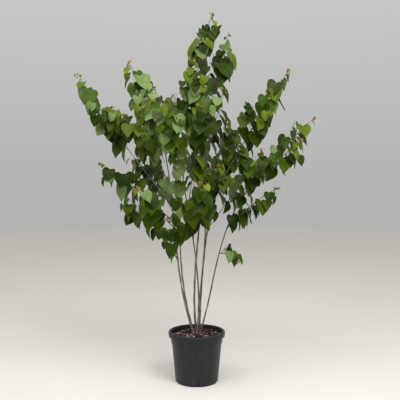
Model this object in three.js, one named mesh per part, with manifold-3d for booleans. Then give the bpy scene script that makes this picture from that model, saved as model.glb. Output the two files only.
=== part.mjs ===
// A redbud tree with several stems, in a black nursery pot.
// Millimetres, +Z up. The origin is the centre of the pot's flat underside.
//
// The tree is grown by rule: stems rise from a ring at the soil, boughs leave them at a given height, and
// each shoot beyond its bough carries one mass of foliage, made of a main twig, side twigs and heart-shaped
// leaves. Every mass keeps to the space nearer to its own twig than to any other.
import * as THREE from 'three'
import { mergeVertices } from 'three/addons/utils/BufferGeometryUtils.js'
import Module from 'manifold-3d'

const wasm = await Module()
wasm.setup()

// ---- Driving dimensions -------------------------------------------------------------------------------

const GAP = 0.3 // clear of a neighbour
const WELD = 1e-4 // corners this near are one

const POT = {
  height: 350,
  baseRadius: 150,
  wallTopRadius: 184,
  rimRadius: 200,
  rimDepth: 33,
  wall: 3,
  floor: 4,
  stepHeight: 268, // the wall is a little wider above this line
  step: 4,
  stepRise: 4,
  lipRound: 7,
  footRound: 3,
  bandChamfer: 1.5,
  sides: 32,
}
const ROUND_MIDDLE = 1 - Math.SQRT1_2 // of its radius, how far a round's middle lies in from the corner
// Openings at the foot of the wall, arched above their shoulders.
const DRAIN = { count: 5, width: 50, height: 15, shoulder: 0.6, below: 5, reach: 26, outside: 6 }
const SOIL = { top: 322, edgeDrop: 7, edgeWidth: 24 }

const LINE_STEPS = 60 // of the smooth line that each limb follows
const STEM = { sides: 6, steps: 8, flareSteps: [0, 0.02, 0.05], ring: 21, flare: 0.28, flareHeight: 45 }
const BOUGH = { sides: 5, steps: 4, baseShare: 0.62, leastBase: 3.6, tipTaper: 0.8 }
const TWIG = { sides: 3, step: 115, tipRadius: 2.6, sideRadius: 3.2, sway: 3.5 }
const SIDE_TWIG = {
  steps: 2,
  tests: 12, // places along it that are tried for whether it keeps to its space
  leastTests: 5, // that must pass, or there is no twig
  leafSpacing: 80,
}
const LEAF = {
  spacing: 90, // between buds along a twig
  length: 132, // of a common blade
  petiole: 34,
  petioleRadius: 1.5,
  rootRadius: 0.9,
  thickness: 2.4,
  shortOfTip: 0.12, // of a spacing, so that the last leaf is rooted too
  youngest: 0.4, // size of the leaf at a shoot's tip
  youngReach: 170, // from the tip to the first full-grown leaf, or less on a short shoot
  youngShare: 0.3,
  tries: 8,
  rootVolume: 4, // most that a leaf may share with what it grows on
  foldedBack: -0.5, // cosine between petiole and blade below which the leaf would lie on its own petiole
}
const STEEPEST = 0.25 // an axis whose level part is less than this counts as upright
const LIGHT = { from: [0.29, -0.96, 0], pull: 0.9, most: 0.75, fadeDepth: 600 } // weaker towards the back
const SPACE = { beadStep: 18, hang: 45, margin: 6, limbClearance: 3 }

// Stems: foot on the ring (or at its centre), head, radii at foot and head, and how far the stem stands out
// of the straight line between them, sideways [x, y], at a third and at two thirds of its height.
const STEMS = [
  {
    name: 'north', around: 84, head: [40, 360, 1440], radii: [6.4, 3.9],
    low: [5, -30], high: [78, 0],
  },
  {
    name: 'northeast', around: 24, head: [138, 152, 1400], radii: [6.8, 4.1],
    low: [-33, 10], high: [-37, 14],
  },
  {
    name: 'east', around: -36, head: [362, -70, 1366], radii: [6, 3.7],
    low: [5, 6], high: [-131, -20],
  },
  {
    name: 'south', around: -96, head: [-76, -236, 1330], radii: [6, 3.6],
    low: [69, 53], high: [32, 38],
  },
  {
    name: 'west', around: -156, head: [-226, -78, 1640], radii: [6.6, 3.9],
    low: [-84, -7], high: [21, 5],
  },
  {
    name: 'northwest', around: 144, head: [-122, 200, 1560], radii: [6.4, 3.8],
    low: [-104, 12], high: [-36, 0],
  },
  {
    name: 'leader', around: null, head: [-4, 0, 1820], radii: [7.4, 4.5],
    low: [-70, 27], high: [116, -6],
  },
]

// Shoots of each stem: the height where each leaves it and its bow upwards (none where it carries the stem's
// head on), its tip, the share of its length that is a bare bough, the seed of its chances, its vigour (how
// large and how far apart its leaves are), and its side twigs: the share of the leafy part where each leaves
// it, its turn about the shoot in degrees (0 to the right, 90 up) and its reach.
const SHOOTS = {
  north: [
    {
      name: 'north_crown', tip: [74, 527, 2111], bare: 0, seed: 329,
      vigour: 0.9, twigs: [[0.43, 162, 243], [0.72, 89, 281]],
    },
    {
      name: 'north_east', from: 1190, tip: [287, 669, 1825], bare: 0.3, bow: -0.003, seed: 821,
      vigour: 0.82, twigs: [[0.03, 172, 256], [0.11, 54, 222]],
    },
    {
      name: 'north_west', from: 1100, tip: [-142, 730, 1730], bare: 0.3, bow: -0.041, seed: 565,
      vigour: 0.8, twigs: [[0.36, 66, 320], [0.49, -41, 190]],
    },
  ],
  northeast: [
    {
      name: 'northeast_crown', tip: [399, 175, 1962], bare: 0, seed: 71,
      vigour: 0.9, twigs: [[0.12, 218, 248], [0.5, 94, 253]],
    },
    {
      name: 'northeast_high', from: 1290, tip: [638, -99, 2171], bare: 0.38, bow: -0.047, seed: 537,
      vigour: 1, twigs: [[0.15, -30, 312], [0.25, 76, 226]],
    },
    {
      name: 'northeast_low', from: 1060, tip: [440, 445, 1564], bare: 0.3, bow: 0.039, seed: 922,
      vigour: 0.9, twigs: [[0.63, -27, 147], [0.8, 272, 229]],
    },
    {
      name: 'southeast', from: 930, tip: [155, -340, 1515], bare: 0.35, bow: -0.05, seed: 588,
      vigour: 0.85, twigs: [[0.55, 10, 224], [0.62, 206, 288]],
    },
  ],
  east: [
    {
      name: 'east_crown', tip: [846, 64, 1865], bare: 0, seed: 316,
      vigour: 1, twigs: [[0.15, 103, 298], [0.43, 37, 276]],
    },
    {
      name: 'east_side', from: 1290, tip: [703, -133, 1692], bare: 0.25, bow: -0.01, seed: 744,
      vigour: 1.1, twigs: [[0.55, 240, 320], [0.65, 200, 161]],
    },
    {
      name: 'east_mid', from: 1190, tip: [428, -292, 1612], bare: 0.2, bow: 0.021, seed: 163,
      vigour: 0.85, twigs: [[0.54, 33, 244], [0.65, 218, 276]],
    },
    {
      name: 'east_low', from: 1080, tip: [559, -93, 1363], bare: 0, bow: -0.097, seed: 806,
      vigour: 0.9, twigs: [[0.1, 164, 181], [0.17, 194, 218]],
    },
    {
      name: 'east_spur', from: 905, tip: [293, -15, 845], bare: 0, bow: -0.23, seed: 881,
      vigour: 0.84, twigs: [[0.1, 87, 207]],
    },
  ],
  south: [
    {
      name: 'south_crown', tip: [-150, -460, 1909], bare: 0, seed: 981,
      vigour: 0.82, twigs: [[0.71, 208, 253], [0.72, -9, 320]],
    },
    {
      name: 'south_high', from: 1230, tip: [30, -471, 1876], bare: 0.3, bow: 0.072, seed: 94,
      vigour: 0.89, twigs: [[0.61, -9, 293], [0.65, 298, 244]],
    },
    {
      name: 'south_low', from: 1010, tip: [44, -560, 1396], bare: 0.25, bow: 0.032, seed: 554,
      vigour: 0.9, twigs: [[0.4, 105, 272], [0.7, 82, 268]],
    },
    {
      name: 'south_west', from: 1030, tip: [-180, -284, 1165], bare: 0, bow: 0.05, seed: 33,
      vigour: 0.87, twigs: [[0.03, 19, 274], [0.39, 276, 239]],
    },
  ],
  west: [
    {
      name: 'west_crown', tip: [-460, -178, 2210], bare: 0, seed: 372,
      vigour: 1.03, twigs: [[0.38, -31, 278], [0.54, -16, 294]],
    },
    {
      name: 'west_high', from: 1250, tip: [-850, 48, 2173], bare: 0.4, bow: 0.073, seed: 975,
      vigour: 0.99, twigs: [[0.18, 115, 260], [0.21, 180, 285]],
    },
    {
      name: 'west_mid', from: 1400, tip: [-557, -263, 1887], bare: 0.3, bow: -0.05, seed: 57,
      vigour: 0.9, twigs: [[0.18, 160, 320], [0.7, -12, 266]],
    },
    {
      name: 'west_low', from: 1120, tip: [-683, 66, 1536], bare: 0.28, bow: -0.05, seed: 598,
      vigour: 1.12, twigs: [[0.31, 9, 198], [0.48, 103, 155]],
    },
    {
      name: 'west_droop', from: 1020, tip: [-503, -94, 1238], bare: 0.22, bow: 0.02, seed: 161,
      vigour: 0.9, twigs: [[0.45, 171, 234], [0.56, 152, 282]],
    },
    {
      name: 'west_spur', from: 850, tip: [-217, -42, 1008], bare: 0, bow: -0.071, seed: 107,
      vigour: 0.75, twigs: [],
    },
    {
      name: 'southwest', from: 1080, tip: [-383, -419, 1360], bare: 0.22, bow: 0.028, seed: 750,
      vigour: 0.9, twigs: [[0.03, 36, 221], [0.22, 224, 162]],
    },
  ],
  northwest: [
    {
      name: 'northwest_crown', tip: [-322, 222, 2108], bare: 0, seed: 386,
      vigour: 1, twigs: [[0.08, 120, 266], [0.4, 37, 255]],
    },
    {
      name: 'northwest_mid', from: 1180, tip: [-387, 91, 1833], bare: 0.25, bow: 0.053, seed: 532,
      vigour: 0.84, twigs: [[0.11, -47, 275], [0.69, 229, 266]],
    },
    {
      name: 'northwest_low', from: 1080, tip: [-410, 369, 1594], bare: 0.3, bow: -0.048, seed: 442,
      vigour: 0.88, twigs: [[0.26, -28, 220], [0.56, 111, 281]],
    },
  ],
  leader: [
    {
      name: 'leader_crown', tip: [110, 52, 2611], bare: 0, seed: 415,
      vigour: 1.27, twigs: [[0.49, 271, 176], [0.59, 32, 226]],
    },
    {
      name: 'leader_east', from: 1640, tip: [224, 73, 2468], bare: 0.35, bow: -0.038, seed: 851,
      vigour: 1.16, twigs: [[0.27, 184, 316], [0.48, 183, 250]],
    },
    {
      name: 'leader_west', from: 1430, tip: [-38, -98, 2253], bare: 0.35, bow: 0.045, seed: 272,
      vigour: 0.9, twigs: [[0.25, 69, 305], [0.25, 187, 247]],
    },
    {
      name: 'leader_south', from: 1420, tip: [184, -135, 2038], bare: 0.3, bow: -0.029, seed: 644,
      vigour: 0.9, twigs: [[0.07, 145, 199], [0.19, 146, 151]],
    },
  ],
}

const MATERIAL = {
  pot: new THREE.MeshStandardMaterial({ color: 0x2b2d30, roughness: 0.5, metalness: 0 }),
  soil: new THREE.MeshStandardMaterial({ color: 0x4a3226, roughness: 0.95, metalness: 0 }),
  bark: new THREE.MeshStandardMaterial({ color: 0x6f655c, roughness: 0.85, metalness: 0 }),
  foliage: new THREE.MeshStandardMaterial({ color: 0x49641f, roughness: 0.55, metalness: 0 }),
}

// ---- Vectors and seeded chance ------------------------------------------------------------------------

const UP = new THREE.Vector3(0, 0, 1)
const vec = (x, y, z) => new THREE.Vector3(x, y, z)

// The sum of vector-and-weight pairs: mix(a, 2, b, -1) is 2a - b.
function mix(...terms) {
  const sum = new THREE.Vector3()
  for (let i = 0; i < terms.length; i += 2) sum.addScaledVector(terms[i], terms[i + 1])
  return sum
}

const toward = (...terms) => mix(...terms).normalize()
const squareTo = (v, axis) => mix(v, 1, axis, -v.dot(axis)).normalize()

// A number from 0 to 1 that depends only on the whole numbers given.
function chance(...keys) {
  let hash = 0x2f6e2b1
  for (const key of keys) {
    hash = Math.imul(hash ^ key, 0x85ebca6b)
    hash ^= hash >>> 13
    hash = Math.imul(hash, 0xc2b2ae35)
    hash ^= hash >>> 16
  }
  return (hash >>> 0) / 2 ** 32
}

const swing = (...keys) => 2 * chance(...keys) - 1
const { lerp, clamp, degToRad } = THREE.MathUtils

// ---- Lines --------------------------------------------------------------------------------------------

function lineLength(line) {
  let sum = 0
  for (let i = 1; i < line.length; i++) sum += line[i].distanceTo(line[i - 1])
  return sum
}

// The same line cut into equal steps.
function respaced(line, steps) {
  const total = lineLength(line)
  const out = [line[0].clone()]
  let k = 1
  let passed = 0
  for (let i = 1; i < steps; i++) {
    const wanted = (total * i) / steps
    while (passed + line[k].distanceTo(line[k - 1]) < wanted) {
      passed += line[k].distanceTo(line[k - 1])
      k++
    }
    const share = (wanted - passed) / line[k].distanceTo(line[k - 1])
    out.push(line[k - 1].clone().lerp(line[k], share))
  }
  out.push(line.at(-1).clone())
  return out
}

// The point and direction at a share of a line whose steps are equal.
function along(line, share) {
  const place = Math.min(share * (line.length - 1), line.length - 1.0001)
  const k = Math.floor(place)
  const point = line[k].clone().lerp(line[k + 1], place - k)
  return { point, direction: toward(line[k + 1], 1, line[k], -1) }
}

function atHeight(line, z) {
  let k = 1
  while (k < line.length - 1 && line[k].z < z) k++
  const share = (z - line[k - 1].z) / (line[k].z - line[k - 1].z)
  return { point: line[k - 1].clone().lerp(line[k], share), direction: toward(line[k], 1, line[k - 1], -1) }
}

// ---- Closed bodies ------------------------------------------------------------------------------------

function solidOf(geometry) {
  const bare = geometry.clone()
  bare.deleteAttribute('normal')
  bare.deleteAttribute('uv')
  const merged = mergeVertices(bare, WELD)
  const vertProperties = new Float32Array(merged.attributes.position.array)
  const triVerts = new Uint32Array(merged.index.array)
  return new wasm.Manifold(new wasm.Mesh({ numProp: 3, vertProperties, triVerts }))
}

function solidFrom(points, triangles) {
  const vertProperties = new Float32Array(points.flatMap((p) => [p.x, p.y, p.z]))
  const triVerts = new Uint32Array(triangles)
  return new wasm.Manifold(new wasm.Mesh({ numProp: 3, vertProperties, triVerts }))
}

function geometryOf(solid) {
  const mesh = solid.getMesh()
  const geometry = new THREE.BufferGeometry()
  geometry.setAttribute('position', new THREE.BufferAttribute(new Float32Array(mesh.vertProperties), 3))
  geometry.setIndex(new THREE.BufferAttribute(new Uint32Array(mesh.triVerts), 1))
  geometry.computeVertexNormals()
  return geometry
}

// True where each edge still lies between just two faces once near corners are one.
function weldsClosed(solid) {
  const mesh = solid.getMesh()
  const corners = new Map()
  const cornerOf = (i) => {
    const key = Array.from(mesh.vertProperties.slice(3 * i, 3 * i + 3), (c) => Math.round(c / WELD)).join()
    if (!corners.has(key)) corners.set(key, corners.size)
    return corners.get(key)
  }
  const welded = Array.from({ length: mesh.numVert }, (_, i) => cornerOf(i))
  const uses = new Map()
  for (let i = 0; i < mesh.triVerts.length; i += 3) {
    const face = [0, 1, 2].map((k) => welded[mesh.triVerts[i + k]])
    if (new Set(face).size < 3) continue
    face.forEach((a, k) => {
      const b = face[(k + 1) % 3]
      const edge = Math.min(a, b) * mesh.numVert + Math.max(a, b)
      uses.set(edge, (uses.get(edge) ?? 0) + 1)
    })
  }
  return [...uses.values()].every((count) => count === 2)
}

// The largest body alone: loose scraps and sealed hollows are left out.
function mainBody(solid) {
  return solid.decompose().reduce((best, body) => (body.volume() > best.volume() ? body : best))
}

// A tapering tube along a line, closed by flat ends, which are square to foot and head where those are given.
function taperedTube(line, radii, sides, foot = null, head = null) {
  const points = []
  const triangles = []
  let side = null
  line.forEach((centre, i) => {
    let axis = toward(line[Math.min(i + 1, line.length - 1)], 1, line[Math.max(i - 1, 0)], -1)
    if (i === 0 && foot) axis = foot
    if (i === line.length - 1 && head) axis = head
    side = squareTo(side ?? (Math.abs(axis.x) < 0.9 ? vec(1, 0, 0) : vec(0, 1, 0)), axis)
    const across = axis.clone().cross(side)
    for (let k = 0; k < sides; k++) {
      const angle = (2 * Math.PI * k) / sides
      points.push(mix(centre, 1, side, radii[i] * Math.cos(angle), across, radii[i] * Math.sin(angle)))
    }
  })
  for (let i = 0; i + 1 < line.length; i++) {
    for (let k = 0; k < sides; k++) {
      const a = i * sides + k
      const b = i * sides + ((k + 1) % sides)
      triangles.push(a, b, b + sides, a, b + sides, a + sides)
    }
  }
  const last = (line.length - 1) * sides
  for (let k = 1; k + 1 < sides; k++) {
    triangles.push(0, k + 1, k, last, last + k, last + k + 1)
  }
  return solidFrom(points, triangles)
}

// ---- Pot and soil -------------------------------------------------------------------------------------

// The outer wall's radius at a height, without the step.
const wallRadius = (z) => POT.baseRadius + ((POT.wallTopRadius - POT.baseRadius) * z) / POT.height

function potSolid() {
  const { height, rimRadius, wall, floor, stepHeight, step, stepRise, bandChamfer } = POT
  const { lipRound, footRound } = POT
  const lipMiddle = ROUND_MIDDLE * lipRound
  const outerWall = (z) => wallRadius(z) + (z > stepHeight ? step : 0)
  const innerWall = (z) => wallRadius(z) - wall
  const bandFoot = height - POT.rimDepth
  const grooveTop = height - 2 * wall
  const profile = [
    [0, 0],
    [outerWall(0) - footRound, 0],
    [outerWall(footRound), footRound],
    [outerWall(stepHeight), stepHeight],
    [outerWall(stepHeight + stepRise), stepHeight + stepRise],
    [outerWall(grooveTop), grooveTop],
    [rimRadius - wall, grooveTop],
    [rimRadius - wall, bandFoot],
    [rimRadius - bandChamfer, bandFoot],
    [rimRadius, bandFoot + bandChamfer],
    [rimRadius, height - lipRound],
    [rimRadius - lipMiddle, height - lipMiddle],
    [rimRadius - lipRound, height],
    [innerWall(height) + lipRound, height],
    [innerWall(height) + lipMiddle, height - lipMiddle],
    [innerWall(height - lipRound), height - lipRound],
    [innerWall(floor), floor],
    [0, floor],
  ]
  const shell = new THREE.LatheGeometry(profile.map(([r, z]) => new THREE.Vector2(r, z)), POT.sides)
  shell.rotateX(Math.PI / 2)
  let pot = solidOf(shell)
  for (let i = 0; i < DRAIN.count; i++) pot = pot.subtract(drainCutter((2 * Math.PI * i) / DRAIN.count))
  return pot
}

// A low arch, run through the foot of the wall; the first one faces -Y.
function drainCutter(turn) {
  const half = DRAIN.width / 2
  const arch = new THREE.Shape()
  arch.moveTo(-half, -DRAIN.below)
  arch.lineTo(half, -DRAIN.below)
  arch.lineTo(half, DRAIN.height * DRAIN.shoulder)
  arch.lineTo(half * DRAIN.shoulder, DRAIN.height)
  arch.lineTo(-half * DRAIN.shoulder, DRAIN.height)
  arch.lineTo(-half, DRAIN.height * DRAIN.shoulder)
  const cutter = new THREE.ExtrudeGeometry(arch, { depth: DRAIN.reach, bevelEnabled: false })
  cutter.rotateX(Math.PI / 2)
  cutter.translate(0, -POT.baseRadius + DRAIN.reach - DRAIN.outside, 0)
  cutter.rotateZ(turn)
  return solidOf(cutter)
}

function soilSolid() {
  const bottom = POT.floor + GAP
  const inside = (z) => wallRadius(z) - POT.wall - GAP
  const edge = SOIL.top - SOIL.edgeDrop
  const profile = [
    [0, bottom],
    [inside(bottom), bottom],
    [inside(edge), edge],
    [inside(edge) - SOIL.edgeWidth, SOIL.top],
    [0, SOIL.top],
  ]
  const body = new THREE.LatheGeometry(profile.map(([r, z]) => new THREE.Vector2(r, z)), POT.sides)
  body.rotateX(Math.PI / 2)
  return solidOf(body)
}

// ---- Limbs --------------------------------------------------------------------------------------------

function stemLine(stem) {
  const angle = degToRad(stem.around ?? 0)
  const out = stem.around === null ? 0 : STEM.ring
  const foot = vec(out * Math.cos(angle), out * Math.sin(angle), SOIL.top + GAP)
  const head = vec(...stem.head)
  const third = mix(foot, 2 / 3, head, 1 / 3, vec(...stem.low, 0), 1)
  const twoThirds = mix(foot, 1 / 3, head, 2 / 3, vec(...stem.high, 0), 1)
  const line = new THREE.CubicBezierCurve3(foot, third, twoThirds, head).getPoints(LINE_STEPS)
  return respaced(line, LINE_STEPS)
}

// Even taper from foot to head, widened by the root flare at the foot.
function stemRadius(stem, share, height) {
  const plain = lerp(stem.radii[0], stem.radii[1], share)
  return plain * (1 + STEM.flare * Math.exp(-height / STEM.flareHeight))
}

// A stem's tube, wider by grow where other pieces are kept clear of it.
function stemSolid(stem, grow = 0) {
  const foot = stem.line[0]
  const shares = [...STEM.flareSteps]
  for (let i = 1; i <= STEM.steps; i++) shares.push(lerp(STEM.flareSteps.at(-1), 1, i / STEM.steps))
  const line = shares.map((share) => along(stem.line, share).point)
  const radii = shares.map((share, i) => stemRadius(stem, share, line[i].z - foot.z) + grow)
  return taperedTube(line, radii, STEM.sides, UP, along(stem.line, 1).direction)
}

function shootLine(shoot) {
  const { stem } = shoot
  const start = shoot.from === undefined ? along(stem.line, 1) : atHeight(stem.line, shoot.from)
  const tip = vec(...shoot.tip)
  const span = tip.distanceTo(start.point)
  const middle = mix(start.point, 0.5, tip, 0.5)
  const bend =
    shoot.from === undefined
      ? mix(start.point, 0.6, start.direction, 0.3 * span, middle, 0.4)
      : mix(middle, 1, UP, -shoot.bow * span)
  const line = new THREE.QuadraticBezierCurve3(start.point, bend, tip).getPoints(LINE_STEPS)
  return respaced(line, LINE_STEPS)
}

// The bare part of a shoot: one tapering bough that starts at the middle of its stem.
function boughTube(shoot, grow = 0) {
  const line = respaced(shoot.bareLine, BOUGH.steps)
  const radii = line.map((_, i) => lerp(shoot.baseRadius, shoot.massRadius, i / BOUGH.steps) + grow)
  return taperedTube(line, radii, BOUGH.sides, null, shoot.massHeading)
}

const boughSolid = (shoot) => mainBody(boughTube(shoot).subtract(shoot.stemCutter))

// ---- Space of each mass -------------------------------------------------------------------------------

// Beads mark each mass's space: they follow its main twig and hang below it as its leaves do.
function beadsOf(line) {
  const steps = Math.round(lineLength(line) / SPACE.beadStep)
  return respaced(line, steps).map((p, i) => mix(p, 1, UP, -SPACE.hang * (0.3 + (0.7 * i) / steps)))
}

// True where every point is nearer to the mass's own beads than to those of any other mass.
function keepsToItsSpace(points, own, crown) {
  return points.every((p) => {
    let nearestOwn = Infinity
    let nearestOther = Infinity
    for (const { shoot, beads } of crown.spaces) {
      for (const bead of beads) {
        const distance = bead.distanceTo(p)
        if (shoot === own) nearestOwn = Math.min(nearestOwn, distance)
        else nearestOther = Math.min(nearestOther, distance)
      }
    }
    return nearestOwn + SPACE.margin < nearestOther
  })
}

const touchesLimb = (solid, crown) => !crown.limbs.intersect(solid).isEmpty()

// ---- Leaves -------------------------------------------------------------------------------------------

// Across and along the blade, in blade lengths: shoulder and widest point of the right half, and the tip.
const SHOULDER = [0.36, -0.13]
const WIDEST = [0.53, 0.28]
const TIP = [0, 1.03]
const RIDGE = [0, 0.42]

// Level and upward directions square to an axis.
function sidesOf(axis) {
  const level = axis.clone().cross(UP)
  if (level.length() < STEEPEST) level.set(1, 0, 0)
  const side = squareTo(level, axis)
  return { side, lift: side.clone().cross(axis) }
}

// A leaf hangs from its petiole: the blade's tip points down and outwards, its upper face to the light.
function leafPose(root, axis, turnSide, size, keys, attempt) {
  const { side, lift } = sidesOf(axis)
  const spin = 0.6 * swing(...keys, 1) + 1.2 * axis.z * axis.z * swing(...keys, 2) + 2.4 * attempt
  const out = mix(side, turnSide * Math.cos(spin), lift, Math.sin(spin))
  const stalk = toward(out, 0.9, axis, 0.45, UP, 0.1)
  const stalkLength = LEAF.petiole * (0.45 + 0.55 * size) * (0.85 + 0.3 * chance(...keys, 3))
  const base = mix(root, 1, stalk, stalkLength)
  const outLevel = mix(out, 1, UP, -out.z)
  const radial = toward(root, 1, UP, -root.z)
  const stray = vec(swing(...keys, 8), swing(...keys, 9), 0)
  const lit = LIGHT.pull * clamp(LIGHT.most - root.y / LIGHT.fadeDepth, 0, 1)
  const facing = toward(outLevel, 0.55, radial, 0.3, vec(...LIGHT.from), lit, stray, 0.25)
  const sidelong = facing.clone().cross(UP)
  const fall = 0.4 + 0.32 * swing(...keys, 5)
  const drift = mix(outLevel, 0.3, sidelong, 0.28 * swing(...keys, 6))
  const down = toward(UP, -0.95 - 0.1 * swing(...keys, 4), facing, fall, drift, 1)
  const face = squareTo(mix(facing, 0.9, UP, 0.5, sidelong, 0.65 * swing(...keys, 7)), down)
  return { root, base, stalk, down, face, across: face.clone().cross(down), length: LEAF.length * size }
}

// A point of the blade, given across and along it in blade lengths and above it in millimetres.
function onBlade(leaf, [x, y], above = 0) {
  return mix(leaf.base, 1, leaf.across, x * leaf.length, leaf.down, y * leaf.length, leaf.face, above)
}

const mirrored = ([x, y]) => [-x, y]

function leafOutline(leaf) {
  const right = [SHOULDER, WIDEST]
  return [...right.map(mirrored), TIP, ...right.toReversed()].map((spot) => onBlade(leaf, spot))
}

// Points all over the leaf, for telling whether it keeps to its space.
function leafSamples(leaf) {
  const middle = onBlade(leaf, RIDGE)
  const outline = leafOutline(leaf)
  const petiole = [0.4, 0.7, 1].map((share) => mix(leaf.root, 1 - share, leaf.base, share))
  return [...petiole, middle, ...outline, ...outline.map((corner) => mix(corner, 0.5, middle, 0.5))]
}

// Left, right and top corners of the petiole where it runs along an axis.
function petioleRing(centre, axis, side, radius) {
  const across = squareTo(side, axis)
  const top = axis.clone().cross(across)
  return [mix(centre, 1, across, -radius), mix(centre, 1, across, radius), mix(centre, 1, top, radius)]
}

// One closed body: a three-sided petiole and a thin heart-shaped blade that is thickest along its midrib.
function leafSolid(leaf) {
  const neck = toward(leaf.stalk, 1, leaf.down, 1)
  const neckSide = squareTo(leaf.across, neck)
  const points = [
    ...petioleRing(leaf.root, leaf.stalk, neckSide, LEAF.rootRadius),
    ...petioleRing(leaf.base, neck, neckSide, LEAF.petioleRadius),
    ...leafOutline(leaf),
    onBlade(leaf, RIDGE, LEAF.thickness),
  ]
  const [rootLeft, rootRight, rootTop, left, right, top] = [0, 1, 2, 3, 4, 5]
  const [leftShoulder, leftWidest, tip, rightWidest, rightShoulder, ridge] = [6, 7, 8, 9, 10, 11]
  const rim = [left, leftShoulder, leftWidest, tip, rightWidest, rightShoulder, right, top]
  const triangles = [rootLeft, rootTop, rootRight]
  for (const [a, b, c, d] of [
    [rootLeft, rootRight, right, left],
    [rootRight, rootTop, top, right],
    [rootTop, rootLeft, left, top],
  ]) {
    triangles.push(a, b, c, a, c, d)
  }
  rim.forEach((corner, i) => triangles.push(ridge, corner, rim[(i + 1) % rim.length]))
  triangles.push(left, leftWidest, leftShoulder, left, tip, leftWidest, left, right, tip)
  triangles.push(right, rightWidest, tip, right, rightShoulder, rightWidest)
  return solidFrom(points, triangles)
}

// ---- Masses of foliage --------------------------------------------------------------------------------

// The main twig sways a little to each side from step to step, as a redbud's shoots do.
function mainTwigLine(shoot) {
  const steps = Math.max(3, Math.round(lineLength(shoot.leafyLine) / TWIG.step))
  const line = respaced(shoot.leafyLine, steps)
  return line.map((point, i) => {
    if (i === 0 || i === steps) return point
    const axis = toward(line[i + 1], 1, line[i - 1], -1)
    return mix(point, 1, axis.cross(UP).normalize(), i % 2 ? -TWIG.sway : TWIG.sway)
  })
}

// A side twig's line, as far as it keeps to its mass's space.
function sideTwigLine(shoot, mainLine, [share, turn, reach], crown) {
  const { point, direction } = along(mainLine, share)
  const { side, lift } = sidesOf(direction)
  const out = mix(side, Math.cos(degToRad(turn)), lift, Math.sin(degToRad(turn)))
  const heading = toward(out, 0.75, direction, 0.65, UP, 0.15)
  const bend = mix(point, 1, heading, 0.5 * reach)
  const end = mix(point, 1, heading, 0.9 * reach, UP, 0.18 * reach)
  const curve = new THREE.QuadraticBezierCurve3(point, bend, end)
  const fine = respaced(curve.getPoints(LINE_STEPS), SIDE_TWIG.tests)
  let kept = 0
  while (kept < SIDE_TWIG.tests) {
    const next = fine[kept + 1]
    if (!keepsToItsSpace([next, mix(next, 1, UP, -20)], shoot, crown)) break
    kept++
  }
  return kept < SIDE_TWIG.leastTests ? null : respaced(fine.slice(0, kept + 1), SIDE_TWIG.steps)
}

function growMass(shoot, crown) {
  const mainLine = mainTwigLine(shoot)
  const mainSteps = mainLine.length - 1
  const mainRadii = mainLine.map((_, i) => lerp(shoot.massRadius, TWIG.tipRadius, i / mainSteps))
  const bodies = [taperedTube(mainLine, mainRadii, TWIG.sides, shoot.massHeading)]
  const buds = []
  const length = lineLength(mainLine)
  const youngReach = Math.min(LEAF.youngReach * shoot.vigour, LEAF.youngShare * length)
  const count = Math.max(4, Math.round(length / (LEAF.spacing * shoot.vigour)))
  for (let k = 1; k <= count; k++) {
    const share = (k - LEAF.shortOfTip) / count
    const grown = lerp(LEAF.youngest, 1, Math.min(1, ((1 - share) * length) / youngReach))
    const size = shoot.vigour * grown * (0.9 + 0.26 * chance(shoot.seed, k, 11))
    buds.push({ ...along(mainLine, share), size, keys: [shoot.seed, k, 0], turnSide: k % 2 ? 1 : -1 })
  }
  for (const [j, row] of shoot.twigs.entries()) {
    const line = sideTwigLine(shoot, mainLine, row, crown)
    if (!line) continue
    const radii = line.map((_, i) => lerp(TWIG.sideRadius, TWIG.tipRadius, i / SIDE_TWIG.steps))
    const twig = taperedTube(line, radii, TWIG.sides)
    if (touchesLimb(twig, crown)) continue
    bodies.push(twig)
    const leaves = Math.max(2, Math.round(lineLength(line) / (SIDE_TWIG.leafSpacing * shoot.vigour)))
    for (let k = 1; k <= leaves; k++) {
      const share = (k - LEAF.shortOfTip) / leaves
      const grown = 0.94 - 0.3 * share * share
      const size = shoot.vigour * grown * (0.82 + 0.26 * chance(shoot.seed, j, k, 12))
      buds.push({ ...along(line, share), size, keys: [shoot.seed, 100 + j, k], turnSide: k % 2 ? 1 : -1 })
    }
  }
  let mass = bodies.reduce((whole, body) => whole.add(body))
  for (const bud of buds) mass = withLeaf(mass, bud, shoot, crown)
  if (shoot.stemCutter && shoot.bare === 0) mass = mass.subtract(shoot.stemCutter)
  return mainBody(mass)
}

// The mass with one more leaf, turned until it shares only its root with what is there, or left out.
function withLeaf(mass, bud, shoot, crown) {
  for (let attempt = 0; attempt < LEAF.tries; attempt++) {
    const size = bud.size * (1 - 0.04 * attempt)
    const pose = leafPose(bud.point, bud.direction, bud.turnSide, size, bud.keys, attempt)
    if (pose.stalk.dot(pose.down) < LEAF.foldedBack) continue
    if (!keepsToItsSpace(leafSamples(pose), shoot, crown)) continue
    const leaf = leafSolid(pose)
    if (touchesLimb(leaf, crown)) continue
    if (mass.intersect(leaf).volume() > LEAF.rootVolume) continue
    const grown = mass.add(leaf)
    if (weldsClosed(grown)) return grown
  }
  return mass
}

// ---- The whole plant ----------------------------------------------------------------------------------

const stems = STEMS.map((stem) => ({ ...stem, line: stemLine(stem) }))

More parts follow.
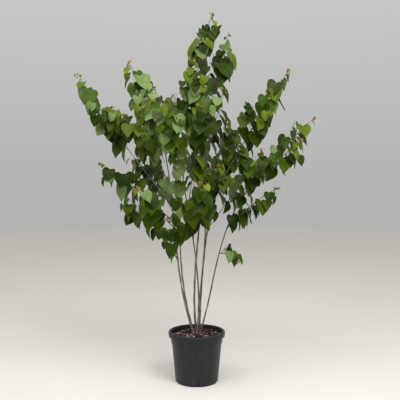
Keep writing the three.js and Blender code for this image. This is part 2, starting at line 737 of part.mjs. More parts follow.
const rows = stems.flatMap((stem) => SHOOTS[stem.name].map((row) => ({ ...row, stem })))
const shoots = rows.map((shoot) => {
  const { stem } = shoot
  const line = shootLine(shoot)
  const bareSteps = Math.round(shoot.bare * (line.length - 1))
  const grown = { ...shoot }
  if (shoot.from === undefined) {
    grown.massRadius = stem.radii[1]
    grown.massHeading = along(stem.line, 1).direction
  } else {
    const height = (shoot.from - SOIL.top) / (stem.head[2] - SOIL.top)
    const stemHere = lerp(stem.radii[0], stem.radii[1], height)
    grown.baseRadius = Math.max(BOUGH.baseShare * stemHere, BOUGH.leastBase)
    const taper = shoot.bare ** BOUGH.tipTaper
    grown.massRadius = lerp(grown.baseRadius, TWIG.tipRadius, taper)
    grown.massHeading = along(line.slice(bareSteps), 0).direction
    grown.stemCutter = stemSolid(stem, GAP * 1.2)
  }
  grown.bareLine = bareSteps ? line.slice(0, bareSteps + 1) : null
  grown.leafyLine = line.slice(bareSteps)
  if (shoot.from === undefined || bareSteps) {
    grown.leafyLine[0] = mix(grown.leafyLine[0], 1, grown.massHeading, GAP)
  }
  return grown
})

const crown = {
  spaces: shoots.map((shoot) => ({ shoot, beads: beadsOf(shoot.leafyLine) })),
  limbs: [
    ...stems.map((stem) => stemSolid(stem, SPACE.limbClearance)),
    ...shoots.filter((shoot) => shoot.bareLine).map((shoot) => boughTube(shoot, SPACE.limbClearance)),
  ].reduce((whole, limb) => whole.add(limb)),
}

const plant = new THREE.Group()

function addPart(name, solid, material) {
  const mesh = new THREE.Mesh(geometryOf(solid), material)
  mesh.name = name
  plant.add(mesh)
}

addPart('pot', potSolid(), MATERIAL.pot)
addPart('soil', soilSolid(), MATERIAL.soil)
for (const stem of stems) addPart(`stem_${stem.name}`, stemSolid(stem), MATERIAL.bark)
for (const shoot of shoots) {
  if (shoot.bareLine) addPart(`bough_${shoot.name}`, boughSolid(shoot), MATERIAL.bark)
  addPart(`foliage_${shoot.name}`, growMass(shoot, crown), MATERIAL.foliage)
}

export default plant
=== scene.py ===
"""A redbud grown with several stems, in a black nursery pot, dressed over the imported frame.

The tree is grown here by the same rule as its solids, carried on to finer twigs and true leaves. Growth is
worked out in millimetres, +Z up, from the centre of the pot's underside, and MM turns it to metres where a
mesh is made.
"""

import math
from collections import namedtuple
from functools import partial
from types import SimpleNamespace

import bpy
import numpy as np
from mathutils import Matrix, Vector


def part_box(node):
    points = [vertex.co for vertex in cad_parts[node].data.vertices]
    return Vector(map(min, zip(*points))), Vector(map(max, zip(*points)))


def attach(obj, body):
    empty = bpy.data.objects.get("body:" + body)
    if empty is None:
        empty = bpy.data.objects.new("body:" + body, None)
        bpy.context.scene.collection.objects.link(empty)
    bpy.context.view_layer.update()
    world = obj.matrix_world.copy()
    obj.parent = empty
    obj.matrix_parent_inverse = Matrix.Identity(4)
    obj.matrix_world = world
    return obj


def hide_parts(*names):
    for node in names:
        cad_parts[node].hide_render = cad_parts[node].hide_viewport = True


MM = 0.001

# ---- The tree's layout, as in its solids --------------------------------------------------------------

GAP = 0.3
SOIL_TOP = 322
STEM_RING = 21
STEM_FLARE = 0.28
FLARE_HEIGHT = 45

# Foot on the ring (or at its centre), head, radii at foot and head, and how far the stem stands out of the
# straight line between them, sideways, at a third and at two thirds of its height.
Stem = namedtuple("Stem", "around head radii low high")
STEMS = {
    "north": Stem(84, (40, 360, 1440), (6.4, 3.9), (5, -30), (78, 0)),
    "northeast": Stem(24, (138, 152, 1400), (6.8, 4.1), (-33, 10), (-37, 14)),
    "east": Stem(-36, (362, -70, 1366), (6, 3.7), (5, 6), (-131, -20)),
    "south": Stem(-96, (-76, -236, 1330), (6, 3.6), (69, 53), (32, 38)),
    "west": Stem(-156, (-226, -78, 1640), (6.6, 3.9), (-84, -7), (21, 5)),
    "northwest": Stem(144, (-122, 200, 1560), (6.4, 3.8), (-104, 12), (-36, 0)),
    "leader": Stem(None, (-4, 0, 1820), (7.4, 4.5), (-70, 27), (116, -6)),
}

# The height where each shoot leaves its stem (None where it carries the stem's head on), its tip, the share
# of its length that is a bare bough, its bow upwards, the seed of its chances, its vigour (how large and how
# far apart its leaves are), and its side twigs: the share of the leafy part where each leaves it, its turn
# about the shoot in degrees (0 right, 90 up) and its reach.
Shoot = namedtuple("Shoot", "name leaves_at tip bare bow seed vigour twigs")
SHOOTS = {
    "north": [
        Shoot("north_crown", None, (74, 527, 2111), 0, 0, 329, 0.9, [
            (0.11, 273, 237), (0.43, 162, 243), (0.68, 125, 217), (0.72, 89, 281),
        ]),
        Shoot("north_east", 1190, (287, 669, 1825), 0.3, -0.003, 821, 0.82, [
            (0.03, 172, 256), (0.11, 54, 222), (0.35, -55, 132), (0.62, 268, 100), (0.72, 11, 169),
        ]),
        Shoot("north_west", 1100, (-142, 730, 1730), 0.3, -0.041, 565, 0.8, [
            (0.35, -46, 100), (0.36, 66, 320), (0.49, -41, 190),
        ]),
    ],
    "northeast": [
        Shoot("northeast_crown", None, (399, 175, 1962), 0, 0, 71, 0.9, [
            (0.03, 75, 180), (0.12, 218, 248), (0.26, 283, 150), (0.37, -15, 100), (0.5, 94, 253),
        ]),
        Shoot("northeast_high", 1290, (638, -99, 2171), 0.38, -0.047, 537, 1, [
            (0.15, -30, 312), (0.23, 172, 197), (0.25, 76, 226), (0.53, -23, 160),
        ]),
        Shoot("northeast_low", 1060, (440, 445, 1564), 0.3, 0.039, 922, 0.9, [
            (0.08, -14, 122), (0.56, 12, 124), (0.63, -27, 147), (0.8, -54, 100), (0.8, 272, 229),
        ]),
        Shoot("southeast", 930, (155, -340, 1515), 0.35, -0.05, 588, 0.85, [
            (0.55, 10, 224), (0.6, 222, 124), (0.6, 257, 115), (0.62, 206, 288),
        ]),
    ],
    "east": [
        Shoot("east_crown", None, (846, 64, 1865), 0, 0, 316, 1, [
            (0.15, 103, 298), (0.43, 37, 276), (0.58, 28, 180),
        ]),
        Shoot("east_side", 1290, (703, -133, 1692), 0.25, -0.01, 744, 1.1, [
            (0.55, 240, 320), (0.65, 200, 161),
        ]),
        Shoot("east_mid", 1190, (428, -292, 1612), 0.2, 0.021, 163, 0.85, [
            (0.28, 187, 145), (0.54, 33, 244), (0.6, 287, 155), (0.65, 218, 276),
        ]),
        Shoot("east_low", 1080, (559, -93, 1363), 0, -0.097, 806, 0.9, [
            (0.04, 61, 118), (0.1, 164, 181), (0.11, 193, 151), (0.17, 194, 218), (0.57, 289, 135),
        ]),
        Shoot("east_spur", 905, (293, -15, 845), 0, -0.23, 881, 0.84, [(0.1, 87, 207)]),
    ],
    "south": [
        Shoot("south_crown", None, (-150, -460, 1909), 0, 0, 981, 0.82, [
            (0.46, -7, 221), (0.52, -31, 176), (0.71, 208, 253), (0.72, -9, 320),
        ]),
        Shoot("south_high", 1230, (30, -471, 1876), 0.3, 0.072, 94, 0.89, [
            (0.06, 127, 100), (0.44, -36, 236), (0.61, -9, 293), (0.65, 298, 244), (0.74, 20, 216),
        ]),
        Shoot("south_low", 1010, (44, -560, 1396), 0.25, 0.032, 554, 0.9, [
            (0.35, -41, 243), (0.4, 105, 272), (0.52, 295, 116), (0.7, 82, 268), (0.7, 112, 261),
        ]),
        Shoot("south_west", 1030, (-180, -284, 1165), 0, 0.05, 33, 0.87, [
            (0.03, 19, 274), (0.06, 10, 130), (0.39, 276, 239), (0.59, 155, 100),
        ]),
    ],
    "west": [
        Shoot("west_crown", None, (-460, -178, 2210), 0, 0, 372, 1.03, [
            (0.14, 162, 197), (0.27, 210, 235), (0.38, -31, 278), (0.54, -16, 294),
        ]),
        Shoot("west_high", 1250, (-850, 48, 2173), 0.4, 0.073, 975, 0.99, [
            (0.14, -19, 100), (0.18, 115, 260), (0.21, 180, 285), (0.26, 178, 222),
        ]),
        Shoot("west_mid", 1400, (-557, -263, 1887), 0.3, -0.05, 57, 0.9, [
            (0.18, 160, 320), (0.54, 37, 177), (0.65, -24, 231), (0.7, -12, 266),
        ]),
        Shoot("west_low", 1120, (-683, 66, 1536), 0.28, -0.05, 598, 1.12, [
            (0.31, 9, 198), (0.38, 30, 137), (0.48, 103, 155), (0.66, 286, 116),
        ]),
        Shoot("west_droop", 1020, (-503, -94, 1238), 0.22, 0.02, 161, 0.9, [
            (0.03, 133, 117), (0.1, 180, 136), (0.45, 171, 234), (0.56, 152, 282), (0.64, 195, 133),
        ]),
        Shoot("west_spur", 850, (-217, -42, 1008), 0, -0.071, 107, 0.75, []),
        Shoot("southwest", 1080, (-383, -419, 1360), 0.22, 0.028, 750, 0.9, [
            (0.03, 36, 221), (0.06, 17, 100), (0.11, 8, 138), (0.22, 224, 162),
        ]),
    ],
    "northwest": [
        Shoot("northwest_crown", None, (-322, 222, 2108), 0, 0, 386, 1, [
            (0.08, 120, 266), (0.2, 114, 121), (0.4, 37, 255), (0.6, 35, 195),
        ]),
        Shoot("northwest_mid", 1180, (-387, 91, 1833), 0.25, 0.053, 532, 0.84, [
            (0.11, -47, 275), (0.45, 174, 183), (0.69, 229, 266), (0.74, 103, 112),
        ]),
        Shoot("northwest_low", 1080, (-410, 369, 1594), 0.3, -0.048, 442, 0.88, [
            (0.13, -46, 160), (0.26, -28, 220), (0.56, 111, 281), (0.64, 197, 149), (0.64, 216, 212),
        ]),
    ],
    "leader": [
        Shoot("leader_crown", None, (110, 52, 2611), 0, 0, 415, 1.27, [
            (0.49, 271, 176), (0.54, 91, 148), (0.59, 32, 226), (0.65, 138, 158),
        ]),
        Shoot("leader_east", 1640, (224, 73, 2468), 0.35, -0.038, 851, 1.16, [
            (0.27, 184, 316), (0.48, 183, 250), (0.53, 107, 127), (0.59, 267, 111),
        ]),
        Shoot("leader_west", 1430, (-38, -98, 2253), 0.35, 0.045, 272, 0.9, [
            (0.25, 69, 305), (0.25, 187, 247), (0.38, 32, 238), (0.55, 10, 182), (0.56, 188, 100),
        ]),
        Shoot("leader_south", 1420, (184, -135, 2038), 0.3, -0.029, 644, 0.9, [
            (0.07, 145, 199), (0.15, 141, 116), (0.19, 146, 151),
        ]),
    ],
}

LINE_STEPS = 60
BOUGH_SHARE = 0.62
LEAST_BOUGH = 3.6
BOUGH_TAPER = 0.8
TWIG_TIP = 1.3
SIDE_TWIG_RADIUS = 2.0
SWAY = 3.2

TWIG_TESTS = 12  # steps of a side twig that must keep to its mass's space, or it ends there
LEAST_TESTS = 4  # steps kept, or there is no twig
LEADING_SIDES = 8
SIDE_TWIG_SIDES = 6
STALK_SIDES = 5

NODE_SPACING = 44  # between leaves along a shoot, and along its side twigs
SIDE_SPACING = 40
BLADE = 106
STALK = 34
STALK_RADIUS = 1.0
YOUNGEST = 0.2
YOUNG_REACH = 140
BLADE_THICKNESS = 0.7
LEAF_TRIES = 8
FOLDED_BACK = -0.5
# Blades turn to the light, by a share that is whole in front and fades towards the back.
LIGHT = np.array([0.29, -0.96, 0.0])
LIGHT_PULL = 0.9
LIGHT_SHARE = 0.75  # halfway between front and back
LIGHT_FADE = 600

# The last leaves to open, between a shoot's last two: share of the way, and size.
OPENING_LEAVES = ((0.45, 0.2), (0.7, 0.16), (0.88, 0.12))

STEEPEST = 0.25
BEAD_STEP = 18
BEAD_HANG = 45
SPACE_MARGIN = 4
LIMB_CLEARANCE = 4


# ---- Vectors and seeded chance ------------------------------------------------------------------------

UP = np.array([0.0, 0.0, 1.0])
LEVEL = np.array([1.0, 1.0, 0.0])
WORD = 0xFFFFFFFF


def unit(v):
    return v / np.linalg.norm(v)


def square_to(v, axis):
    return unit(v - axis * v.dot(axis))


def lerp(a, b, share):
    return a + (b - a) * share


def chance(*keys):
    """A number from 0 to 1 that depends only on the whole numbers given."""
    value = 0x2F6E2B1
    for key in keys:
        value = ((value ^ (key & WORD)) * 0x85EBCA6B) & WORD
        value ^= value >> 13
        value = (value * 0xC2B2AE35) & WORD
        value ^= value >> 16
    return value / 2**32


def swing(*keys):
    return 2 * chance(*keys) - 1


# ---- Lines --------------------------------------------------------------------------------------------


def line_length(line):
    return float(np.linalg.norm(np.diff(line, axis=0), axis=1).sum())


def respaced(line, steps):
    """The same line cut into equal steps."""
    passed = np.concatenate([[0], np.cumsum(np.linalg.norm(np.diff(line, axis=0), axis=1))])
    wanted = np.linspace(0, passed[-1], steps + 1)
    return np.stack([np.interp(wanted, passed, line[:, axis]) for axis in range(3)], 1)


def along(line, share):
    """The point and direction at a share of a line whose steps are equal."""
    place = min(share * (len(line) - 1), len(line) - 1.0001)
    k = int(place)
    return lerp(line[k], line[k + 1], place - k), unit(line[k + 1] - line[k])


def at_height(line, z):
    k = 1
    while k < len(line) - 1 and line[k][2] < z:
        k += 1
    share = (z - line[k - 1][2]) / (line[k][2] - line[k - 1][2])
    return lerp(line[k - 1], line[k], share), unit(line[k] - line[k - 1])


def bezier(points, steps):
    """A Bezier curve through its first and last point."""
    t = np.linspace(0, 1, steps + 1)[:, None]
    order = len(points) - 1
    pulls = [math.comb(order, i) * (1 - t) ** (order - i) * t**i for i in range(order + 1)]
    return sum(pull * np.array(point, float) for pull, point in zip(pulls, points))


def stem_line(stem):
    angle = math.radians(stem.around or 0)
    out = 0 if stem.around is None else STEM_RING
    foot = np.array([out * math.cos(angle), out * math.sin(angle), SOIL_TOP + GAP])
    head = np.array(stem.head, float)
    third = lerp(foot, head, 1 / 3) + np.array([*stem.low, 0])
    two_thirds = lerp(foot, head, 2 / 3) + np.array([*stem.high, 0])
    return respaced(bezier([foot, third, two_thirds, head], LINE_STEPS), LINE_STEPS)


def shoot_line(shoot, stem_path):
    tip = np.array(shoot.tip, float)
    if shoot.leaves_at is None:
        start, heading = along(stem_path, 1)
    else:
        start, heading = at_height(stem_path, shoot.leaves_at)
    span = np.linalg.norm(tip - start)
    middle = (start + tip) / 2
    if shoot.leaves_at is None:
        bend = 0.6 * (start + 0.5 * span * heading) + 0.4 * middle
    else:
        bend = middle - UP * shoot.bow * span
    return respaced(bezier([start, bend, tip], LINE_STEPS), LINE_STEPS)


# ---- The tree's plan: limbs, shoots and the space of each mass ------------------------------------------


def plan_shoot(row, stem, stem_path, index):
    line = shoot_line(row, stem_path)
    bare_steps = round(row.bare * (len(line) - 1))
    plan = SimpleNamespace(name=row.name, index=index, seed=row.seed, vigour=row.vigour, twigs=row.twigs)
    plan.bare_line = line[: bare_steps + 1] if bare_steps else None
    plan.leafy_line = line[bare_steps:]
    if row.leaves_at is None:
        plan.base_radius = stem.radii[1]
        plan.mass_radius = stem.radii[1]
    else:
        height = (row.leaves_at - SOIL_TOP) / (stem.head[2] - SOIL_TOP)
        plan.base_radius = max(BOUGH_SHARE * lerp(*stem.radii, height), LEAST_BOUGH)
        plan.mass_radius = lerp(plan.base_radius, TWIG_TIP, row.bare**BOUGH_TAPER)
    return plan


def beads_of(line):
    """Points that mark a mass's space: they follow its main twig and hang below it as its leaves do."""
    steps = round(line_length(line) / BEAD_STEP)
    hang = BEAD_HANG * (0.3 + 0.7 * np.linspace(0, 1, steps + 1))
    return respaced(line, steps) - UP * hang[:, None]


def plan_tree():
    tree = SimpleNamespace(stems={}, shoots=[])
    for name, stem in STEMS.items():
        path = stem_line(stem)
        rows = SHOOTS[name]
        shoots = [plan_shoot(row, stem, path, len(tree.shoots) + i) for i, row in enumerate(rows)]
        tree.stems[name] = SimpleNamespace(path=path, radii=stem.radii, shoots=shoots)
        tree.shoots += shoots
    beads = [beads_of(shoot.leafy_line) for shoot in tree.shoots]
    tree.beads = np.vstack(beads)
    tree.bead_owner = np.concatenate([[i] * len(b) for i, b in enumerate(beads)])
    spots = []
    widths = []
    for stem in tree.stems.values():
        spots.append(respaced(stem.path, 120))
        widths.append(np.linspace(*stem.radii, 121))
        for shoot in stem.shoots:
            if shoot.bare_line is not None:
                spots.append(respaced(shoot.bare_line, 30))
                widths.append(np.linspace(shoot.base_radius, shoot.mass_radius, 31))
    tree.limb_spots = np.vstack(spots)
    tree.limb_widths = np.concatenate(widths)
    return tree


def keeps_to_its_space(points, shoot, tree):
    """True where every point is nearer to the mass's own beads than to those of any other mass."""
    distance = np.linalg.norm(points[:, None] - tree.beads[None], axis=2)
    own = tree.bead_owner == shoot.index
    return bool((distance[:, own].min(1) + SPACE_MARGIN < distance[:, ~own].min(1)).all())


# ---- Leaves -------------------------------------------------------------------------------------------

# The right half of a heart-shaped blade, across and along it in blade lengths: the points of its midrib, and
# the point of the edge that each is joined to.
MIDRIB = (0.0, 0.06, 0.14, 0.26, 0.39, 0.54, 0.72, 0.89)
EDGE = (
    (0.10, -0.08),
    (0.26, -0.14),
    (0.42, -0.08),
    (0.51, 0.07),
    (0.53, 0.26),
    (0.47, 0.49),
    (0.34, 0.71),
    (0.14, 0.91),
)
TIP = (0.0, 1.05)
OUTLINE = np.array([(-x, y) for x, y in EDGE] + [TIP] + list(reversed(EDGE)))
# The blade's half width at places along it, both in blade lengths.
HALF_WIDTH_AT = (
    [-0.15, -0.1, 0.0, 0.19, 0.44, 0.68, 0.90, 1.05],
    [0.3, 0.41, 0.47, 0.53, 0.50, 0.37, 0.15, 0.0],
)


def sides_of(axis):
    """Level and upward directions square to an axis."""
    level = np.cross(axis, UP)
    if np.linalg.norm(level) < STEEPEST:
        level = np.array([1.0, 0.0, 0.0])
    side = square_to(level, axis)
    return side, np.cross(side, axis)


def leaf_pose(bud, attempt):
    """A leaf hangs from its stalk: the blade's tip points down and outwards, its upper face to the light."""
    axis = bud.heading
    side, lift = sides_of(axis)
    keys = bud.keys
    spin = 0.6 * swing(*keys, 1) + 1.2 * axis[2] ** 2 * swing(*keys, 2) + 2.4 * attempt
    out = bud.turn * side * math.cos(spin) + lift * math.sin(spin)
    stalk = unit(0.9 * out + 0.45 * axis + 0.1 * UP)
    size = bud.size * (1 - 0.04 * attempt)
    reach = STALK * (0.45 + 0.55 * size) * (0.85 + 0.3 * chance(*keys, 3))
    radial = unit(bud.root * LEVEL + np.array([1e-6, 0, 0]))
    stray = np.array([swing(*keys, 8), swing(*keys, 9), 0])
    lit = LIGHT_PULL * min(1, max(0, LIGHT_SHARE - bud.root[1] / LIGHT_FADE))
    facing = unit(0.55 * out * LEVEL + 0.3 * radial + lit * LIGHT + 0.25 * stray)
    sidelong = np.cross(facing, UP)
    fall = 0.4 + 0.32 * swing(*keys, 5)
    drift = 0.3 * out * LEVEL + 0.28 * swing(*keys, 6) * sidelong
    down = unit(-UP * (0.95 + 0.1 * swing(*keys, 4)) + fall * facing + drift)
    face = square_to(0.9 * facing + 0.5 * UP + 0.65 * swing(*keys, 7) * sidelong, down)
    return SimpleNamespace(
        root=bud.root,
        base=bud.root + stalk * reach,
        stalk=stalk,
        down=down,
        face=face,
        across=np.cross(face, down),
        length=BLADE * size,
        tone=bud.tone,
        keys=keys,
    )


def on_blade(leaf, spots):
    x, y = spots[:, :1], spots[:, 1:2]
    return leaf.base + leaf.length * (x * leaf.across + y * leaf.down)


def seen_from(leaf, points):
    """Points across, along and above a blade, the first two in blade lengths."""
    offset = points - leaf.base
    frame = np.stack([leaf.across / leaf.length, leaf.down / leaf.length, leaf.face], 1)
    return offset @ frame


def inside_blade(x, y):
    return np.abs(x) < np.interp(y, *HALF_WIDTH_AT, left=-1, right=-1)


def limb_passes(leaf, tree):
    near = np.linalg.norm(tree.limb_spots - leaf.base, axis=1) < 1.3 * leaf.length
    x, y, z = seen_from(leaf, tree.limb_spots[near]).T
    return bool((inside_blade(x, y) & (np.abs(z) < tree.limb_widths[near] + LIMB_CLEARANCE)).any())


def blade_cuts(leaf, other):
    """True where a spoke or the edge of one flat blade passes through the other."""
    for a, b in ((leaf, other), (other, leaf)):
        rim = seen_from(b, a.rim)
        middle = seen_from(b, a.middle[None])
        for start, end in ((rim, np.roll(rim, -1, 0)), (np.repeat(middle, len(rim), 0), rim)):
            drop = start[:, 2] - end[:, 2]
            crossing = start[:, 2] * end[:, 2] < 0
            share = np.where(crossing, start[:, 2] / np.where(drop == 0, 1, drop), 0)
            spot = lerp(start[:, :2], end[:, :2], share[:, None])
            if (crossing & inside_blade(spot[:, 0], spot[:, 1])).any():
                return True
    return False


SAMPLES = np.array([(0, 0), (0, 0.5), TIP, *EDGE[1:7:2], *[(-x, y) for x, y in EDGE[1:7:2]]])


def place_leaf(bud, shoot, tree, growth):
    """The leaf in the first pose that is clear of limbs and other leaves, or none."""
    middles = np.array([leaf.middle for leaf in growth.leaves] or [(0, 0, -1e6)])
    lengths = np.array([leaf.length for leaf in growth.leaves] or [0])
    for attempt in range(LEAF_TRIES):
        leaf = leaf_pose(bud, attempt)
        if leaf.stalk.dot(leaf.down) < FOLDED_BACK:
            continue
        if not keeps_to_its_space(on_blade(leaf, SAMPLES), shoot, tree):
            continue
        if limb_passes(leaf, tree):
            continue
        leaf.rim = on_blade(leaf, OUTLINE)
        leaf.middle = leaf.base + 0.42 * leaf.length * leaf.down
        near = np.linalg.norm(middles - leaf.middle, axis=1) < 0.6 * (lengths + leaf.length)
        if not any(blade_cuts(leaf, growth.leaves[i]) for i in np.flatnonzero(near)):
            return leaf
    return None


# ---- Growth of each mass ------------------------------------------------------------------------------


def main_twig_line(shoot):
    steps = max(3, round(line_length(shoot.leafy_line) / (NODE_SPACING * shoot.vigour)))
    line = respaced(shoot.leafy_line, steps)
    swayed = line.copy()
    for i in range(1, steps):
        axis = unit(line[i + 1] - line[i - 1])
        swayed[i] += unit(np.cross(axis, UP)) * (-SWAY if i % 2 else SWAY)
    return swayed


def side_twig_line(shoot, main_line, twig, tree):
    """A side twig's line, as far as it keeps to its mass's space."""
    share, turn, reach = twig
    point, heading = along(main_line, share)
    side, lift = sides_of(heading)
    out = side * math.cos(math.radians(turn)) + lift * math.sin(math.radians(turn))
    leaning = unit(0.75 * out + 0.65 * heading + 0.15 * UP)
    end = point + leaning * 0.9 * reach + UP * 0.18 * reach
    fine = respaced(bezier([point, point + leaning * 0.5 * reach, end], 24), TWIG_TESTS)
    kept = 0
    while kept < TWIG_TESTS:
        spot = fine[kept + 1]
        if not keeps_to_its_space(np.array([spot, spot - 20 * UP]), shoot, tree):
            break
        kept += 1
    if kept < LEAST_TESTS:
        return None
    line = fine[: kept + 1]
    return respaced(line, max(2, round(line_length(line) / (SIDE_SPACING * shoot.vigour))))


# Shoots with more pale leaves, a painted sheen from the sky, and shoots with more deep green ones, a painted
# shade.
SKY_SHEEN_SHOOTS = ("west_crown", "northwest_crown", "northwest_mid", "south_crown")
PAINTED_SHADE_SHOOTS = ("leader_crown", "leader_east", "leader_west", "leader_south")


def tone_of(shoot, keys, youth):
    """A spray's colour: bronze, then yellow-green, at the shoot's tip, and deep to light green below it, some
    leaves pale with painted sheen and some shoots deeper with painted shade.
    """
    pick = chance(*keys, 31)
    if youth < 0.4:
        return "bronze"
    if youth < 0.62:
        return "young" if pick < 0.5 else "light"
    # Painted sheen: leaves on these shoots more often take the pale tone, as if they reflected the sky.
    if shoot.name in SKY_SHEEN_SHOOTS and pick < 0.35:
        return "pale"
    # Painted shade: the leader's shoots take the deep tone more often, as if they stood in shade.
    if pick < (0.6 if shoot.name in PAINTED_SHADE_SHOOTS else 0.38):
        return "deep"
    if pick < 0.68:
        return "middle"
    # The last share, the pale tone, is painted sheen as well.
    return "light" if pick < 0.89 else "pale"


def add_bud(buds, root, heading, size, keys, turn, tone):
    buds.append(SimpleNamespace(root=root, heading=heading, size=size, keys=keys, turn=turn, tone=tone))


def grow_mass(shoot, tree, growth):
    main_line = main_twig_line(shoot)
    length = line_length(main_line)
    steps = len(main_line) - 1
    growth.leading.append((main_line, shoot.mass_radius))
    buds = []
    reach = min(YOUNG_REACH * shoot.vigour, 0.35 * length)
    for k in range(1, steps + 1):
        youth = lerp(YOUNGEST, 1, min(1, (1 - k / steps) * length / reach))
        size = shoot.vigour * youth * (0.9 + 0.26 * chance(shoot.seed, k, 11))
        keys = (shoot.seed, k, 0)
        heading = unit(main_line[min(k + 1, steps)] - main_line[k - 1])
        add_bud(buds, main_line[k], heading, size, keys, 1 if k % 2 else -1, tone_of(shoot, keys, youth))
    for j, (share, size) in enumerate(OPENING_LEAVES):
        spot = lerp(main_line[-2], main_line[-1], share)
        add_bud(buds, spot, heading, size, (shoot.seed, 50 + j, 0), 1 if j % 2 else -1, "bronze")
    for j, twig in enumerate(shoot.twigs):
        line = side_twig_line(shoot, main_line, twig, tree)
        if line is None:
            continue
        growth.side.append((line, SIDE_TWIG_RADIUS))
        count = len(line) - 1
        for k in range(1, count + 1):
            youth = 0.94 - 0.3 * (k / count) ** 2
            size = shoot.vigour * youth * (0.82 + 0.26 * chance(shoot.seed, j, k, 12))
            keys = (shoot.seed, 100 + j, k)
            heading = unit(line[k] - line[k - 1])
            add_bud(buds, line[k], heading, size, keys, 1 if k % 2 else -1, tone_of(shoot, keys, youth))
    for bud in buds:
        leaf = place_leaf(bud, shoot, tree, growth)
        if leaf:
            growth.leaves.append(leaf)


# ---- Meshes from arrays -------------------------------------------------------------------------------


def new_mesh(name, points, faces, materials, face_slots=None, corners=None, sharp=40):
    """A finished piece at the origin, from points in millimetres."""
    mesh = bpy.data.meshes.new(name)
    mesh.from_pydata((np.asarray(points) * MM).tolist(), [], faces)
    for material in materials:
        mesh.materials.append(material)
    if face_slots is not None:
        mesh.polygons.foreach_set("material_index", face_slots)
    if corners is not None:
        layer = mesh.uv_layers.new(name="blade")
        order = np.empty(len(mesh.loops), np.int32)
        mesh.loops.foreach_get("vertex_index", order)
        layer.data.foreach_set("uv", np.asarray(corners, np.float32)[order].ravel())
    piece = bpy.data.objects.new(name, mesh)
    bpy.context.scene.collection.objects.link(piece)
    only(piece)
    bpy.ops.object.shade_smooth_by_angle(angle=math.radians(sharp))
    return piece


def only(piece):
    bpy.ops.object.select_all(action="DESELECT")
    piece.select_set(True)
    bpy.context.view_layer.objects.active = piece


def dress(piece, nodes):
    """The piece stands still with the part and replaces these nodes."""
    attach(piece, "root")
    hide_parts(*nodes)


def tube(line, radii, sides):
    """Rings along a line, closed at both ends: points and faces."""
    points = []
    side = None
    for i, centre in enumerate(line):
        axis = unit(line[min(i + 1, len(line) - 1)] - line[max(i - 1, 0)])
        if side is None:
            side = np.array([1.0, 0, 0]) if abs(axis[0]) < 0.9 else np.array([0, 1.0, 0])
        side = square_to(side, axis)
        across = np.cross(axis, side)
        turn = np.arange(sides)[:, None] * 2 * math.pi / sides
        points.append(centre + radii[i] * (np.cos(turn) * side + np.sin(turn) * across))
    faces = []
    for i in range(len(line) - 1):
        for k in range(sides):
            a = i * sides + k
            b = i * sides + (k + 1) % sides
            faces.append((a, b, b + sides, a + sides))
    last = (len(line) - 1) * sides
    faces.append(tuple(reversed(range(sides))))
    faces.append(tuple(range(last, last + sides)))
    return np.vstack(points), faces


def tubes(name, rows, material):
    """Many tubes joined in one piece: rows of line, radii and sides."""
    points = []
    faces = []
    count = 0
    for line, radii, sides in rows:
        more, ring_faces = tube(line, radii, sides)
        points.append(more)
        faces += [tuple(count + k for k in face) for face in ring_faces]
        count += len(more)
    return new_mesh(name, np.vstack(points), faces, [material], sharp=60)


# ---- Blades -------------------------------------------------------------------------------------------


def blade_template():
    """One blade's points (across, along, share of the way to the edge) and its faces on the upper side."""
    spots = []
    for y, (edge_x, edge_y) in zip(MIDRIB, EDGE):
        for share in (-1, -0.55, 0, 0.55, 1):
            spots.append((share * edge_x, lerp(y, edge_y, abs(share)), abs(share)))
    spots.append((*TIP, 1))
    tip = len(spots) - 1
    faces = []
    for i in range(len(MIDRIB) - 1):
        for k in range(2):
            a = 5 * i + k
            faces += [(a, a + 5, a + 6), (a, a + 6, a + 1)]
        for k in range(2, 4):
            a = 5 * i + k
            faces += [(a, a + 5, a + 1), (a + 1, a + 5, a + 6)]
    for k in range(4):
        a = 5 * (len(MIDRIB) - 1) + k
        faces.append((a, tip, a + 1))
    left = [5 * i for i in range(len(MIDRIB))]
    right = [5 * i + 4 for i in reversed(range(len(MIDRIB)))]
    rim = [2, 1, *left, tip, *right, 3]
    return np.array(spots), faces, rim


def blade_piece(name, leaves, materials):
    """Leaves joined in one piece: thin closed blades, folded at the midrib, drooping and a little wavy."""
    spots, upper, rim = blade_template()
    x, y, share = spots.T
    count = len(spots)
    size = np.array([leaf.length for leaf in leaves])[:, None]
    traits = np.array([[swing(*leaf.keys, 40 + i) for i in range(5)] for leaf in leaves])
    fold = 0.24 + 0.16 * traits[:, :1]
    droop = 0.2 + 0.15 * traits[:, 1:2]
    wave = 0.035 + 0.015 * traits[:, 2:3]
    turn = np.arctan2(x, y + 0.1)
    ripple = wave * share**2 * np.sin(5 * np.abs(turn) + 3 * traits[:, 3:4] + np.sign(x) * traits[:, 4:5])
    rise = fold * np.abs(x) - droop * np.clip(y, 0, None) ** 2 + ripple
    base = np.array([leaf.base for leaf in leaves])[:, None]
    across = np.array([leaf.across for leaf in leaves])[:, None]
    down = np.array([leaf.down for leaf in leaves])[:, None]
    face = np.array([leaf.face for leaf in leaves])[:, None]
    middle = base + size[..., None] * (x[:, None] * across + y[:, None] * down + rise[..., None] * face)
    thick = 0.5 * BLADE_THICKNESS * face
    points = np.concatenate([middle + thick, middle - thick], 1).reshape(-1, 3)
    lower = [tuple(count + k for k in reversed(one)) for one in upper]
    edge = [(a, a + count, b + count, b) for a, b in zip(rim, rim[1:] + rim[:1])]
    template = upper + lower + edge
    slots = [0] * len(upper) + [1] * len(lower) + [0] * len(edge)
    faces = [tuple(2 * count * i + k for k in one) for i in range(len(leaves)) for one in template]
    corner = np.stack([0.5 + x / BLADE_SPAN, (y + BLADE_FOOT) / BLADE_RUN], 1)
    corners = np.tile(corner, (2 * len(leaves), 1))
    return new_mesh(name, points, faces, materials, slots * len(leaves), corners, sharp=50)


